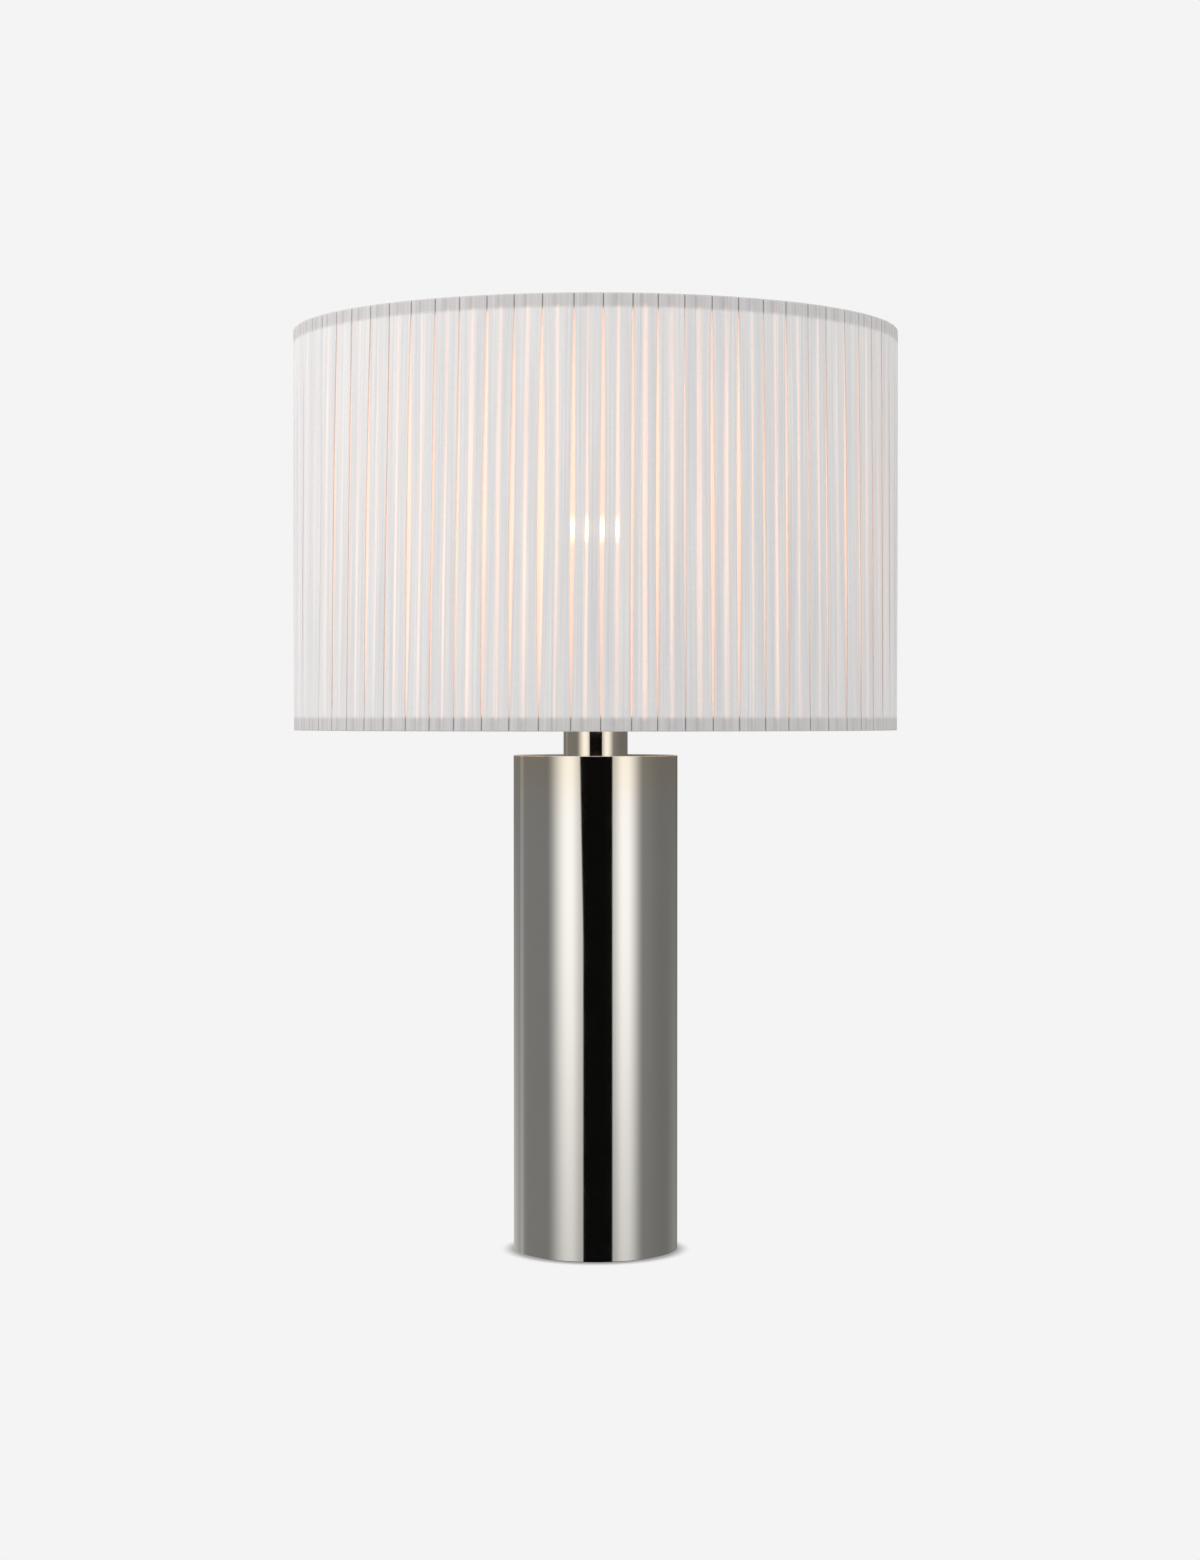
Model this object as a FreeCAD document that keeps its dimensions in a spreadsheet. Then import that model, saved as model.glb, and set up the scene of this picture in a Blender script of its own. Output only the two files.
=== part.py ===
"""Pleated drum-shade table lamp on a polished column, as a parametric document.

Millimetres, +Z up, origin on the table under the middle of the column, front towards -Y.
Lengths are written as expressions of the sheet's aliases, so a size is changed in one place.
"""
import FreeCAD, Part
import math
import os
import re

import Sketcher

os.makedirs("parts", exist_ok=True)
doc = FreeCAD.newDocument("table_lamp")
sizes = doc.addObject("Spreadsheet::Sheet", "Sizes")
Vector = FreeCAD.Vector

# ---------------------------------------------------------------- driving dimensions
SIZES = {
    # foot and column
    "felt_thickness": 3.0,
    "felt_inset": 1.05,
    "tube_lift": 1.0,
    "column_diameter": 111.1,
    "column_wall": 1.5,
    "column_top": 335.7,
    "cap_thickness": 3.0,
    "cap_rebate": 0.8,
    "plate_thickness": 2.0,
    "weight_height": 38.0,
    "ring_height": 6.0,
    "ring_width": 8.0,
    "cord_channel_width": 16.0,
    "cord_channel_depth": 14.0,
    "grommet_level": 24.0,
    "grommet_bore": 6.4,
    "grommet_hole": 9.6,
    "grommet_flange": 13.0,
    "grommet_lip": 1.4,
    # lamp pipe, nuts and screws
    "pipe_diameter": 9.8,
    "pipe_bore": 7.0,
    "pipe_engagement": 7.0,
    "nut_flats": 14.3,
    "nut_thickness": 4.0,
    "washer_thickness": 1.4,
    "washer_diameter": 22.0,
    "counterbore_diameter": 30.0,
    "counterbore_depth": 12.0,
    "screw_diameter": 4.0,
    "screw_length": 12.0,
    "screw_head_diameter": 7.0,
    "screw_head_height": 1.9,
    "screw_circle": 84.0,
    "screw_count": 3,
    # neck and saddle
    "neck_diameter": 43.5,
    "neck_height": 41.5,
    "neck_wall": 1.2,
    "neck_roof": 2.0,
    "saddle_thickness": 1.6,
    "saddle_width": 12.7,
    "saddle_ear": 9.1,
    "saddle_bend": 3.2,
    "tongue_length": 16.0,
    "tongue_width": 4.0,
    "tongue_setback": 0.4,
    "jam_nut_thickness": 3.2,
    # lampholder
    "hub_diameter": 15.0,
    "hub_height": 8.0,
    "holder_cap_diameter": 34.8,
    "holder_cap_wall": 0.7,
    "holder_cap_height": 21.0,
    "shell_diameter": 33.2,
    "shell_wall": 0.6,
    "shell_start": 16.0,
    "holder_height": 57.0,
    "liner_wall": 0.6,
    "mouth_setback": 1.0,
    "block_diameter": 30.2,
    "block_start": 11.0,
    "block_height": 18.0,
    "screw_shell_bore": 26.9,
    "screw_shell_wall": 0.4,
    "screw_shell_hole": 15.0,
    "contact_width": 7.0,
    "contact_thickness": 0.5,
    "contact_rise": 1.3,
    "contact_foot": 5.95,
    "terminal_flat": 11.0,
    "terminal_pocket": 9.0,
    "terminal_sill": 2.25,
    "terminal_head": 6.0,
    "terminal_head_height": 1.6,
    "terminal_shank": 3.4,
    "terminal_length": 5.0,
    # turn switch
    "switch_level": 14.0,
    "switch_shaft_diameter": 4.0,
    "switch_reach": 34.0,
    "switch_depth": 12.0,
    "knob_diameter": 11.0,
    "knob_length": 13.0,
    "knob_ribs": 12,
    "knob_rib": 0.8,
    "knob_lead": 0.8,
    # bulb
    "bulb_diameter": 60.0,
    "bulb_length": 109.0,
    "bulb_wall": 0.8,
    "bulb_neck_diameter": 29.0,
    "bulb_neck_level": 33.0,
    "bulb_flank_share": 0.62,
    "bulb_cap_diameter": 26.2,
    "bulb_cap_wall": 0.5,
    "bulb_cap_height": 24.5,
    "cement_depth": 3.0,
    "cap_cone": 1.5,
    "cap_ledge": 4.0,
    "insulator_height": 3.4,
    "tip_diameter": 9.0,
    "tip_height": 1.0,
    "stem_diameter": 7.0,
    "stem_height": 47.0,
    "filament_level": 79.0,
    "filament_width": 24.0,
    "filament_foot": 1.2,
    "filament_bend": 1.2,
    "filament_wire": 0.8,
    # harp, ferrules and swivel stud
    "harp_height": 228.6,
    "harp_wire": 4.0,
    "harp_leg": 28.1,
    "harp_straight": 40.0,
    "harp_bow_radius": 56.0,
    "harp_flat": 6.0,
    "eye_diameter": 11.0,
    "eye_thickness": 4.4,
    "ferrule_bore": 5.9,
    "ferrule_diameter": 8.0,
    "ferrule_length": 14.0,
    "ferrule_offset": 0.1,
    "stud_shank": 5.0,
    "stud_thread": 6.35,
    "stud_length": 12.0,
    "seat_diameter": 16.0,
    "seat_thickness": 2.0,
    "rivet_diameter": 8.5,
    "rivet_thickness": 1.6,
    # shade
    "shade_diameter": 406.4,
    "shade_height": 266.7,
    "pleats": 70,
    "pleat_slit": 2.4,
    "pleat_return": 6.4,
    "cloth": 0.35,
    "ply_gap": 0.25,
    "hem_height": 8.0,
    "hem_tape": 0.4,
    "liner_sheet": 0.5,
    "ring_wire": 3.0,
    "arm_wire": 2.4,
    "arm_bend": 18.0,
    "arm_foot": 7.2,
    "arm_rise": 10.0,
    "spider_hub_diameter": 20.0,
    "spider_hub_bore": 7.2,
    "spider_hub_thickness": 2.0,
    "arm_count": 3,
    # finial
    "finial_height": 14.0,
    "finial_base": 13.0,
    "finial_waist": 8.6,
    "finial_ball": 11.0,
    "finial_neck_share": 0.6,
    "finial_bore_depth": 12.2,
    # clearances
    "weld_gap": 0.05,
    "slip_fit": 0.1,
    "rest_gap": 0.2,
    "easy_gap": 0.5,
    "lay_gap": 0.25,
    "cut_past": 1.0,
    # broken edges
    "edge": 0.4,
}
for row, (alias, value) in enumerate(SIZES.items(), start=1):
    sizes.set(f"A{row}", alias)
    sizes.set(f"B{row}", str(value))
    sizes.setAlias(f"B{row}", alias)
doc.recompute()

WORD = re.compile(r"[a-z][a-z_]+[a-z]")


def bound(text):
    """The expression with each alias looked up in the sheet."""
    return WORD.sub(lambda m: f"Sizes.{m.group()}" if m.group() in SIZES else m.group(), text)


def mm(text):
    """The value of an expression of aliases, in millimetres."""
    return float(sizes.evalExpression(text))


# ---------------------------------------------------------------- levels and radii worked out
def half(text):
    """Half of an expression."""
    return f"({text}) / 2"


INNER_RADIUS = "(column_diameter / 2 - column_wall)"
PLATE_RADIUS = f"({INNER_RADIUS} - easy_gap)"
PIPE_RADIUS = "(pipe_diameter / 2)"
PIPE_HOLE = f"({PIPE_RADIUS} + slip_fit)"

PLATE_TOP = "(felt_thickness + plate_thickness)"
WEIGHT_TOP = f"({PLATE_TOP} + weight_height)"
NECK_TOP = "(column_top + neck_height)"
SADDLE_TOP = f"({NECK_TOP} + saddle_thickness)"
HOLDER = f"({SADDLE_TOP} + jam_nut_thickness)"
BLOCK = f"({HOLDER} + block_start)"
BLOCK_TOP = f"({BLOCK} + block_height)"
HOLDER_TOP = f"({HOLDER} + holder_height)"
SWITCH_AXIS = f"({BLOCK} + switch_level)"
TERMINAL_AXIS = f"({BLOCK} + terminal_sill + terminal_pocket / 2)"
CONTACT_TOP = f"({BLOCK_TOP} + screw_shell_wall + contact_rise)"
BULB = f"({CONTACT_TOP} + rest_gap)"
SHOULDER = f"({NECK_TOP} + saddle_ear)"

STUD_SEAT = f"({NECK_TOP} + harp_height)"
EYE_TOP = f"({STUD_SEAT} - seat_thickness - rest_gap)"
HARP_TOP = f"({EYE_TOP} - eye_thickness / 2)"
HUB = f"({STUD_SEAT} + rest_gap)"
HUB_TOP = f"({HUB} + spider_hub_thickness)"
ARM_LEVEL = f"({HUB} + spider_hub_thickness / 2)"

PANEL = "(shade_diameter / 2)"
CLOTH_INSIDE = f"({PANEL} - 3 * cloth - 2 * ply_gap)"
TAPE_OUTSIDE = f"({CLOTH_INSIDE} - lay_gap)"
LINER_OUTSIDE = f"({TAPE_OUTSIDE} - hem_tape - lay_gap)"
LINER_INSIDE = f"({LINER_OUTSIDE} - liner_sheet)"
RING_CENTRE = f"({LINER_INSIDE} - weld_gap - ring_wire / 2)"
RING_INSIDE = f"({RING_CENTRE} - ring_wire / 2)"
TAPE_INSIDE = f"({RING_INSIDE} - lay_gap)"
RIM_DEPTH = "(lay_gap + hem_tape + lay_gap + ring_wire / 2)"
TOP_RING = f"({ARM_LEVEL} + arm_rise)"
SHADE_TOP = f"({TOP_RING} + {RIM_DEPTH})"
SHADE_BOTTOM = f"({SHADE_TOP} - shade_height)"
BOTTOM_RING = f"({SHADE_BOTTOM} + {RIM_DEPTH})"


# ---------------------------------------------------------------- sketch and feature helpers
def datum(body, role):
    """One of the planes or axes of the body's own origin."""
    return next(f for f in body.Origin.OriginFeatures if f.Role == role)


def new_body(label, several=False):
    """A body whose label is the name of its file; several lets it hold separate solids."""
    body = doc.addObject("PartDesign::Body", label)
    body.Label = label
    body.Placement = FreeCAD.Placement()
    body.AllowCompound = several
    return body


def new_sketch(body, role, level="0", raised="0"):
    """An empty sketch on one of the body's own planes, moved along its normal by level.

    raised moves its own origin up within the plane.
    """
    sketch = body.newObject("Sketcher::SketchObject", f"{body.Name}_sketch")
    sketch.AttachmentSupport = (datum(body, role), [""])
    sketch.MapMode = "FlatFace"
    if level != "0":
        sketch.setExpression("AttachmentOffset.Base.z", bound(level))
    if raised != "0":
        sketch.setExpression("AttachmentOffset.Base.y", bound(raised))
    return sketch


def pin_point(sketch, edge, end, corner):
    """Fix one end of an edge at a corner, whose two distances follow the sheet."""
    for kind, axis, text in (("DistanceX", -2, corner[0]), ("DistanceY", -1, corner[1])):
        if text == "0":
            sketch.addConstraint(Sketcher.Constraint("PointOnObject", edge, end, axis))
        else:
            number = sketch.addConstraint(Sketcher.Constraint(kind, -1, 1, edge, end, mm(text)))
            sketch.setExpression(f"Constraints[{number}]", bound(text))


def arc_edge(start, end, radius):
    """The short arc from start to end; a positive radius bends it to the left of the way."""
    middle = (start + end) * 0.5
    way = end - start
    rise = math.sqrt(max(radius * radius - way.Length * way.Length / 4, 0.0))
    side = Vector(-way.y, way.x, 0).normalize() * math.copysign(1.0, radius)
    centre = middle + side * rise
    first = math.atan2(start.y - centre.y, start.x - centre.x)
    last = math.atan2(end.y - centre.y, end.x - centre.x)
    circle = Part.Circle(centre, Vector(0, 0, 1), abs(radius))
    if radius > 0:
        return Part.ArcOfCircle(circle, first, last), (1, 2)
    return Part.ArcOfCircle(circle, last, first), (2, 1)


def outline(sketch, corners, closed=True):
    """Draw an outline through corners (across, up[, radius of the arc to the next corner])."""
    spots = [Vector(mm(c[0]), mm(c[1]), 0) for c in corners]
    edges = []
    for number, corner in enumerate(corners if closed else corners[:-1]):
        start = spots[number]
        end = spots[(number + 1) % len(spots)]
        if len(corner) == 3:
            shape, ends = arc_edge(start, end, mm(corner[2]))
        else:
            shape, ends = Part.LineSegment(start, end), (1, 2)
        edges.append((sketch.addGeometry(shape, False), ends))
    for number, (edge, ends) in enumerate(edges):
        if closed or number + 1 < len(edges):
            following, next_ends = edges[(number + 1) % len(edges)]
            sketch.addConstraint(Sketcher.Constraint("Coincident", edge, ends[1], following, next_ends[0]))
        else:
            pin_point(sketch, edge, ends[1], corners[-1])
        pin_point(sketch, edge, ends[0], corners[number])
        if len(corners[number]) == 3:
            radius = corners[number][2].lstrip("-")
            fixed = sketch.addConstraint(Sketcher.Constraint("Radius", edge, mm(radius)))
            sketch.setExpression(f"Constraints[{fixed}]", bound(radius))
    return sketch


def circle(sketch, radius, across="0", up="0"):
    """Add a circle to a sketch."""
    spot = Vector(mm(across), mm(up), 0)
    edge = sketch.addGeometry(Part.Circle(spot, Vector(0, 0, 1), mm(radius)), False)
    pin_point(sketch, edge, 3, (across, up))
    fixed = sketch.addConstraint(Sketcher.Constraint("Radius", edge, mm(radius)))
    sketch.setExpression(f"Constraints[{fixed}]", bound(radius))
    return sketch


def box_corners(left, low, right, high):
    """The corners of an upright rectangle."""
    return [(left, low), (right, low), (right, high), (left, high)]


def turned(label, corners, several=False):
    """A body of revolution about Z: corners are (radius, level)."""
    body = new_body(label, several)
    turn(body, corners)
    return body


def turn(body, corners, groove=False):
    """Revolve an outline of the XZ plane about Z, as a solid or as a cut."""
    sketch = outline(new_sketch(body, "XZ_Plane"), corners)
    kind = "Groove" if groove else "Revolution"
    feature = body.newObject(f"PartDesign::{kind}", f"{body.Name}_{kind.lower()}")
    feature.Profile = sketch
    feature.ReferenceAxis = (sketch, ["V_Axis"])
    feature.Angle = 360
    return feature


def extrude(body, sketch, length, cut=False, both=False, back=False):
    """Pad a sketch, or pocket it, by a length along its normal, about it or against it."""
    kind = "Pocket" if cut else "Pad"
    feature = body.newObject(f"PartDesign::{kind}", f"{body.Name}_{kind.lower()}")
    feature.Profile = sketch
    feature.Length = mm(length)
    feature.setExpression("Length", bound(length))
    feature.Midplane = both
    feature.Reversed = back
    return feature


def polar(body, features, count, axis=None):
    """Repeat features about Z or another axis, and make the pattern the body's result."""
    pattern = body.newObject("PartDesign::PolarPattern", f"{body.Name}_pattern")
    pattern.Originals = features
    pattern.Axis = axis or (datum(body, "Z_Axis"), [""])
    pattern.Angle = 360
    pattern.Refine = False
    pattern.setExpression("Occurrences", bound(count))
    body.Tip = pattern
    return pattern


def broken(inner, low, outer, high, edge="edge"):
    """A ring's outline with its outer edges broken by small chamfers."""
    return [
        (inner, low), (f"{outer} - {edge}", low), (outer, f"{low} + {edge}"),
        (outer, f"{high} - {edge}"), (f"{outer} - {edge}", high), (inner, high),
    ]


# ---------------------------------------------------------------- foot of the column
def make_felt_pad():
    """Felt disc under the foot, pocketed over the screw heads."""
    body = turned("felt_pad", box_corners("0", "0", f"{PLATE_RADIUS} - felt_inset", "felt_thickness"))
    pocket = circle(new_sketch(body, "XY_Plane", "felt_thickness"), "screw_head_diameter / 2 + lay_gap",
                    half("screw_circle"))
    polar(body, [extrude(body, pocket, "screw_head_height + lay_gap", cut=True)], "screw_count")
    return body


def make_base_plate():
    """Steel disc that closes the weight from below."""
    body = turned("base_plate", broken("0", "felt_thickness", PLATE_RADIUS, PLATE_TOP))
    hole = circle(new_sketch(body, "XY_Plane", "felt_thickness"), "screw_diameter / 2 + slip_fit",
                  half("screw_circle"))
    polar(body, [extrude(body, hole, "plate_thickness", cut=True, back=True)], "screw_count")
    return body


def make_base_screws():
    """Three flat screws; their heads bed in the felt and their shanks enter the weight."""
    body = new_body("base_screws", several=True)
    head = circle(new_sketch(body, "XY_Plane", "felt_thickness - screw_head_height"),
                  half("screw_head_diameter"), half("screw_circle"))
    heads = extrude(body, head, "screw_head_height")
    shank = circle(new_sketch(body, "XY_Plane", "felt_thickness"), half("screw_diameter"),
                   half("screw_circle"))
    shanks = extrude(body, shank, "screw_length")
    polar(body, [heads, shanks], "screw_count")
    return body


def make_base_weight():
    """Cast disc, drilled for the pipe and the screws, with a channel for the lead at the rear."""
    roof = f"{PLATE_TOP} + counterbore_depth"
    body = turned("base_weight", [
        (half("counterbore_diameter"), PLATE_TOP), (f"{PLATE_RADIUS} - 2 * edge", PLATE_TOP),
        (PLATE_RADIUS, f"{PLATE_TOP} + 2 * edge"), (PLATE_RADIUS, WEIGHT_TOP),
        (PIPE_HOLE, WEIGHT_TOP), (PIPE_HOLE, roof), (half("counterbore_diameter"), roof),
    ])
    hole = circle(new_sketch(body, "XY_Plane", PLATE_TOP), "screw_diameter / 2 + slip_fit",
                  half("screw_circle"))
    polar(body, [extrude(body, hole, "screw_length", cut=True, back=True)], "screw_count")
    channel = outline(new_sketch(body, "XY_Plane", "grommet_level - cord_channel_width"), box_corners(
        "-cord_channel_width / 2", f"{PLATE_RADIUS} - cord_channel_depth",
        "cord_channel_width / 2", f"{PLATE_RADIUS} + cut_past"))
    body.Tip = extrude(body, channel, "weight_height", cut=True, back=True)
    return body


def make_retaining_ring():
    """Ring welded inside the tube; the weight is drawn up against it."""
    outer = f"{INNER_RADIUS} - weld_gap"
    body = turned("retaining_ring", broken(f"{INNER_RADIUS} - ring_width", WEIGHT_TOP, outer,
                                           f"{WEIGHT_TOP} + ring_height"))
    gap = outline(new_sketch(body, "XY_Plane", WEIGHT_TOP), box_corners(
        "-cord_channel_width / 2", f"{INNER_RADIUS} - 2 * ring_width",
        "cord_channel_width / 2", f"{INNER_RADIUS} + cut_past"))
    body.Tip = extrude(body, gap, "ring_height", cut=True, back=True)
    return body


def make_column_tube():
    """Polished tube, rebated at the top for its lid and bored at the rear for the grommet."""
    rebate = "column_diameter / 2 - cap_rebate"
    floor = "column_top - cap_thickness"
    body = turned("column_tube", [
        (INNER_RADIUS, "tube_lift"), (half("column_diameter"), "tube_lift"),
        (half("column_diameter"), "column_top - edge / 2"), ("column_diameter / 2 - edge / 2", "column_top"),
        (rebate, "column_top"), (rebate, floor), (INNER_RADIUS, floor),
    ])
    hole = circle(new_sketch(body, "XZ_Plane"), half("grommet_hole"), up="grommet_level")
    body.Tip = extrude(body, hole, "column_diameter", cut=True)
    return body


def make_cord_grommet():
    """Bush in the tube's rear wall; the tube sits in the groove between its two flanges."""
    wall = "column_diameter / 2"
    outside = f"{wall} + grommet_lip + lay_gap / 2"
    behind = f"(sqrt(pow({INNER_RADIUS}; 2) - pow(grommet_flange / 2; 2)) - weld_gap)"
    body = new_body("cord_grommet")
    spans = (
        (f"{behind} - grommet_lip", behind, half("grommet_flange")),
        (f"{behind} - grommet_lip", outside, "grommet_hole / 2 - slip_fit"),
        (f"{wall} + lay_gap / 2", outside, half("grommet_flange")),
    )
    for near, far, radius in spans:
        disc = circle(new_sketch(body, "XZ_Plane", f"-({near})"), radius, up="grommet_level")
        extrude(body, disc, f"{far} - ({near})", back=True)
    bore = circle(new_sketch(body, "XZ_Plane"), half("grommet_bore"), up="grommet_level")
    body.Tip = extrude(body, bore, "column_diameter", cut=True)
    return body


def make_column_lid():
    """Disc let into the top of the tube, flush with its end."""
    outer = "(column_diameter / 2 - cap_rebate - weld_gap)"
    low = "column_top - cap_thickness"
    return turned("column_lid", [
        (PIPE_HOLE, low), (outer, low), (outer, "column_top - edge / 4"),
        (f"{outer} - edge / 4", "column_top"), (PIPE_HOLE, "column_top"),
    ])


# ---------------------------------------------------------------- pipe and its nuts
def make_lamp_pipe():
    """Hollow threaded pipe that ties the foot, lid, neck and saddle together."""
    low = f"{PLATE_TOP} + counterbore_depth - washer_thickness - nut_thickness - 2 * edge"
    high = f"{HOLDER} + pipe_engagement"
    bore = half("pipe_bore")
    return turned("lamp_pipe", [
        (bore, low), (f"{PIPE_RADIUS} - edge", low), (PIPE_RADIUS, f"{low} + edge"),
        (PIPE_RADIUS, f"{high} - edge"), (f"{PIPE_RADIUS} - edge", high), (bore, high),
    ])


def make_washer():
    """Lock washer under the weight's counterbore."""
    high = f"{PLATE_TOP} + counterbore_depth"
    return turned("lock_washer", box_corners(
        PIPE_HOLE, f"{high} - washer_thickness", half("washer_diameter"), high))


def hexagon(sketch, flats):
    """A hexagon about the sketch's origin, by its width across flats."""
    corners = []
    for number in range(6):
        angle = math.radians(60 * number + 30)
        reach = f"{flats} / cos(30)"
        across = f"{reach} / 2 * {math.cos(angle):.9f}"
        up = f"{reach} / 2 * {math.sin(angle):.9f}"
        corners.append((across if abs(math.cos(angle)) > 1e-6 else "0", up))
    return outline(sketch, corners)


def make_lock_nut():
    """Hexagon nut below the washer, with its corners turned off."""
    high = f"{PLATE_TOP} + counterbore_depth - washer_thickness"
    low = f"{high} - nut_thickness"
    body = new_body("lock_nut")
    extrude(body, hexagon(new_sketch(body, "XY_Plane", low), "nut_flats"), "nut_thickness")
    turn(body, [
        (half("nut_flats"), low), ("nut_flats", low), ("nut_flats", f"{low} + nut_flats / 2 * tan(30)"),
    ], groove=True)
    body.Tip = turn(body, box_corners("0", f"{low} - cut_past", PIPE_HOLE, f"{high} + cut_past"),
                    groove=True)
    return body


def make_jam_nut():
    """Round nut that clamps the saddle onto the neck."""
    return turned("jam_nut", broken(PIPE_HOLE, SADDLE_TOP, half("nut_flats"), HOLDER))


# ---------------------------------------------------------------- neck and saddle
def make_neck():
    """Cup turned upside down that lifts the lampholder off the column."""
    inner = "(neck_diameter / 2 - neck_wall)"
    outer = half("neck_diameter")
    return turned("neck_sleeve", [
        (inner, "column_top"), (outer, "column_top"), (outer, f"{NECK_TOP} - 2 * edge"),
        (f"{outer} - 2 * edge", NECK_TOP), (PIPE_HOLE, NECK_TOP),
        (PIPE_HOLE, f"{NECK_TOP} - neck_roof"), (inner, f"{NECK_TOP} - neck_roof"),
    ])


TONGUE_OUTSIDE = "(harp_leg - tongue_setback)"
TONGUE_INSIDE = f"({TONGUE_OUTSIDE} - saddle_thickness)"


def make_saddle():
    """Pressed strip under the lampholder: two ears, each with a stop and a tongue for the harp."""
    body = new_body("harp_saddle")
    top = f"{SHOULDER} + tongue_length"
    flat_end = f"({TONGUE_INSIDE} - saddle_bend)"
    bend_top = f"({SADDLE_TOP} + saddle_bend)"
    wide_bend = "(saddle_bend + saddle_thickness)"
    strip = outline(new_sketch(body, "XZ_Plane"), [
        (f"-{flat_end}", SADDLE_TOP, "-saddle_bend"), (f"-{TONGUE_INSIDE}", bend_top),
        (f"-{TONGUE_INSIDE}", SHOULDER), (f"-{TONGUE_OUTSIDE}", SHOULDER),
        (f"-{TONGUE_OUTSIDE}", bend_top, wide_bend), (f"-{flat_end}", NECK_TOP),
        (flat_end, NECK_TOP, wide_bend), (TONGUE_OUTSIDE, bend_top),
        (TONGUE_OUTSIDE, SHOULDER), (TONGUE_INSIDE, SHOULDER),
        (TONGUE_INSIDE, bend_top, "-saddle_bend"), (flat_end, SADDLE_TOP),
    ])
    extrude(body, strip, "saddle_width", both=True)
    stop = f"{SHOULDER} - saddle_thickness"
    for side in ("-", ""):
        ends = sorted((f"{side}{TONGUE_INSIDE}", f"{side}{TONGUE_OUTSIDE}"), key=mm)
        tongue = new_sketch(body, "XZ_Plane")
        outline(tongue, box_corners(ends[0], SHOULDER, ends[1], top))
        extrude(body, tongue, "tongue_width", both=True)
        tab_ends = sorted((f"{side}{TONGUE_OUTSIDE}", f"{side}(harp_leg + harp_wire / 2)"), key=mm)
        tab = outline(new_sketch(body, "XZ_Plane"), box_corners(tab_ends[0], stop, tab_ends[1], SHOULDER))
        extrude(body, tab, "tongue_width", both=True)
    body.Tip = turn(body, box_corners("0", f"{NECK_TOP} - cut_past", PIPE_HOLE, f"{SADDLE_TOP} + cut_past"),
                    groove=True)
    return body


# ---------------------------------------------------------------- lampholder
def make_holder_cap():
    """Domed cap with a hub for the pipe; it carries the shell in its lip."""
    outer = "(holder_cap_diameter / 2)"
    inner = f"({outer} - holder_cap_wall)"
    dome = "(holder_cap_diameter / 2 - hub_diameter / 2)"
    shoulder = f"{HOLDER} + hub_height"
    lip = f"{HOLDER} + holder_cap_height"
    return turned("holder_cap", [
        (PIPE_HOLE, HOLDER), ("hub_diameter / 2 - edge", HOLDER), (half("hub_diameter"), f"{HOLDER} + edge"),
        (half("hub_diameter"), f"{shoulder} - holder_cap_wall"),
        (f"{outer} - {dome} / 2", f"{shoulder} - holder_cap_wall", f"{dome} / 2"),
        (outer, f"{shoulder} - holder_cap_wall + {dome} / 2"), (outer, lip), (inner, lip),
        (inner, f"{shoulder} - holder_cap_wall + {dome} / 2", f"-({dome} / 2 - holder_cap_wall)"),
        (f"{outer} - {dome} / 2", shoulder), (PIPE_HOLE, shoulder),
    ])


def make_holder_shell():
    """Drawn shell with a rolled mouth and a slot that lifts off over the switch shaft."""
    outer = "(shell_diameter / 2)"
    inner = f"({outer} - shell_wall)"
    low = f"{HOLDER} + shell_start"
    body = turned("holder_shell", [
        (inner, low), (outer, low), (outer, f"{HOLDER_TOP} - 3 * shell_wall"),
        (f"{outer} + shell_wall", f"{HOLDER_TOP} - 2 * shell_wall"),
        (f"{outer} + shell_wall", f"{HOLDER_TOP} - shell_wall"), (outer, HOLDER_TOP), (inner, HOLDER_TOP),
    ])
    slot_half = "(switch_shaft_diameter / 2 + easy_gap)"
    slot = outline(new_sketch(body, "XZ_Plane"), [
        (f"-{slot_half}", f"{low} - cut_past"), (slot_half, f"{low} - cut_past"),
        (slot_half, SWITCH_AXIS, slot_half), ("0", f"{SWITCH_AXIS} + {slot_half}", slot_half),
        (f"-{slot_half}", SWITCH_AXIS),
    ])
    body.Tip = extrude(body, slot, "shell_diameter", cut=True, back=True)
    return body


def make_holder_liner():
    """Insulating paper sleeve between the shell and the live parts."""
    outer = "(shell_diameter / 2 - shell_wall - slip_fit)"
    low = f"{HOLDER} + shell_start + easy_gap"
    body = turned("holder_liner", box_corners(f"{outer} - liner_wall", low, outer,
                                              f"{HOLDER_TOP} - mouth_setback"))
    hole = circle(new_sketch(body, "XZ_Plane"), "switch_shaft_diameter / 2 + easy_gap", up=SWITCH_AXIS)
    body.Tip = extrude(body, hole, "shell_diameter", cut=True, back=True)
    return body


def make_holder_block():
    """Moulded block with the switch bore at the front and a terminal pocket on each side."""
    body = turned("holder_block", broken("0", BLOCK, half("block_diameter"), BLOCK_TOP))
    for side in ("", "-"):
        ends = sorted((f"{side}terminal_flat", f"{side}block_diameter"), key=mm)
        pocket = outline(new_sketch(body, "XZ_Plane"), box_corners(
            ends[0], f"{BLOCK} + terminal_sill", ends[1], f"{BLOCK} + terminal_sill + terminal_pocket"))
        extrude(body, pocket, "terminal_pocket", cut=True, both=True)
        drill_ends = (f"{side}(terminal_flat - terminal_length)", f"{side}(terminal_flat + cut_past)")
        drill_start = min(drill_ends, key=mm)
        drill = circle(new_sketch(body, "YZ_Plane", drill_start), "terminal_shank / 2 + slip_fit",
                       up=TERMINAL_AXIS)
        extrude(body, drill, "terminal_length + cut_past", cut=True, back=True)
    bore = circle(new_sketch(body, "XZ_Plane"), "switch_shaft_diameter / 2 + slip_fit", up=SWITCH_AXIS)
    body.Tip = extrude(body, bore, "block_diameter", cut=True, back=True)
    return body


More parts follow.
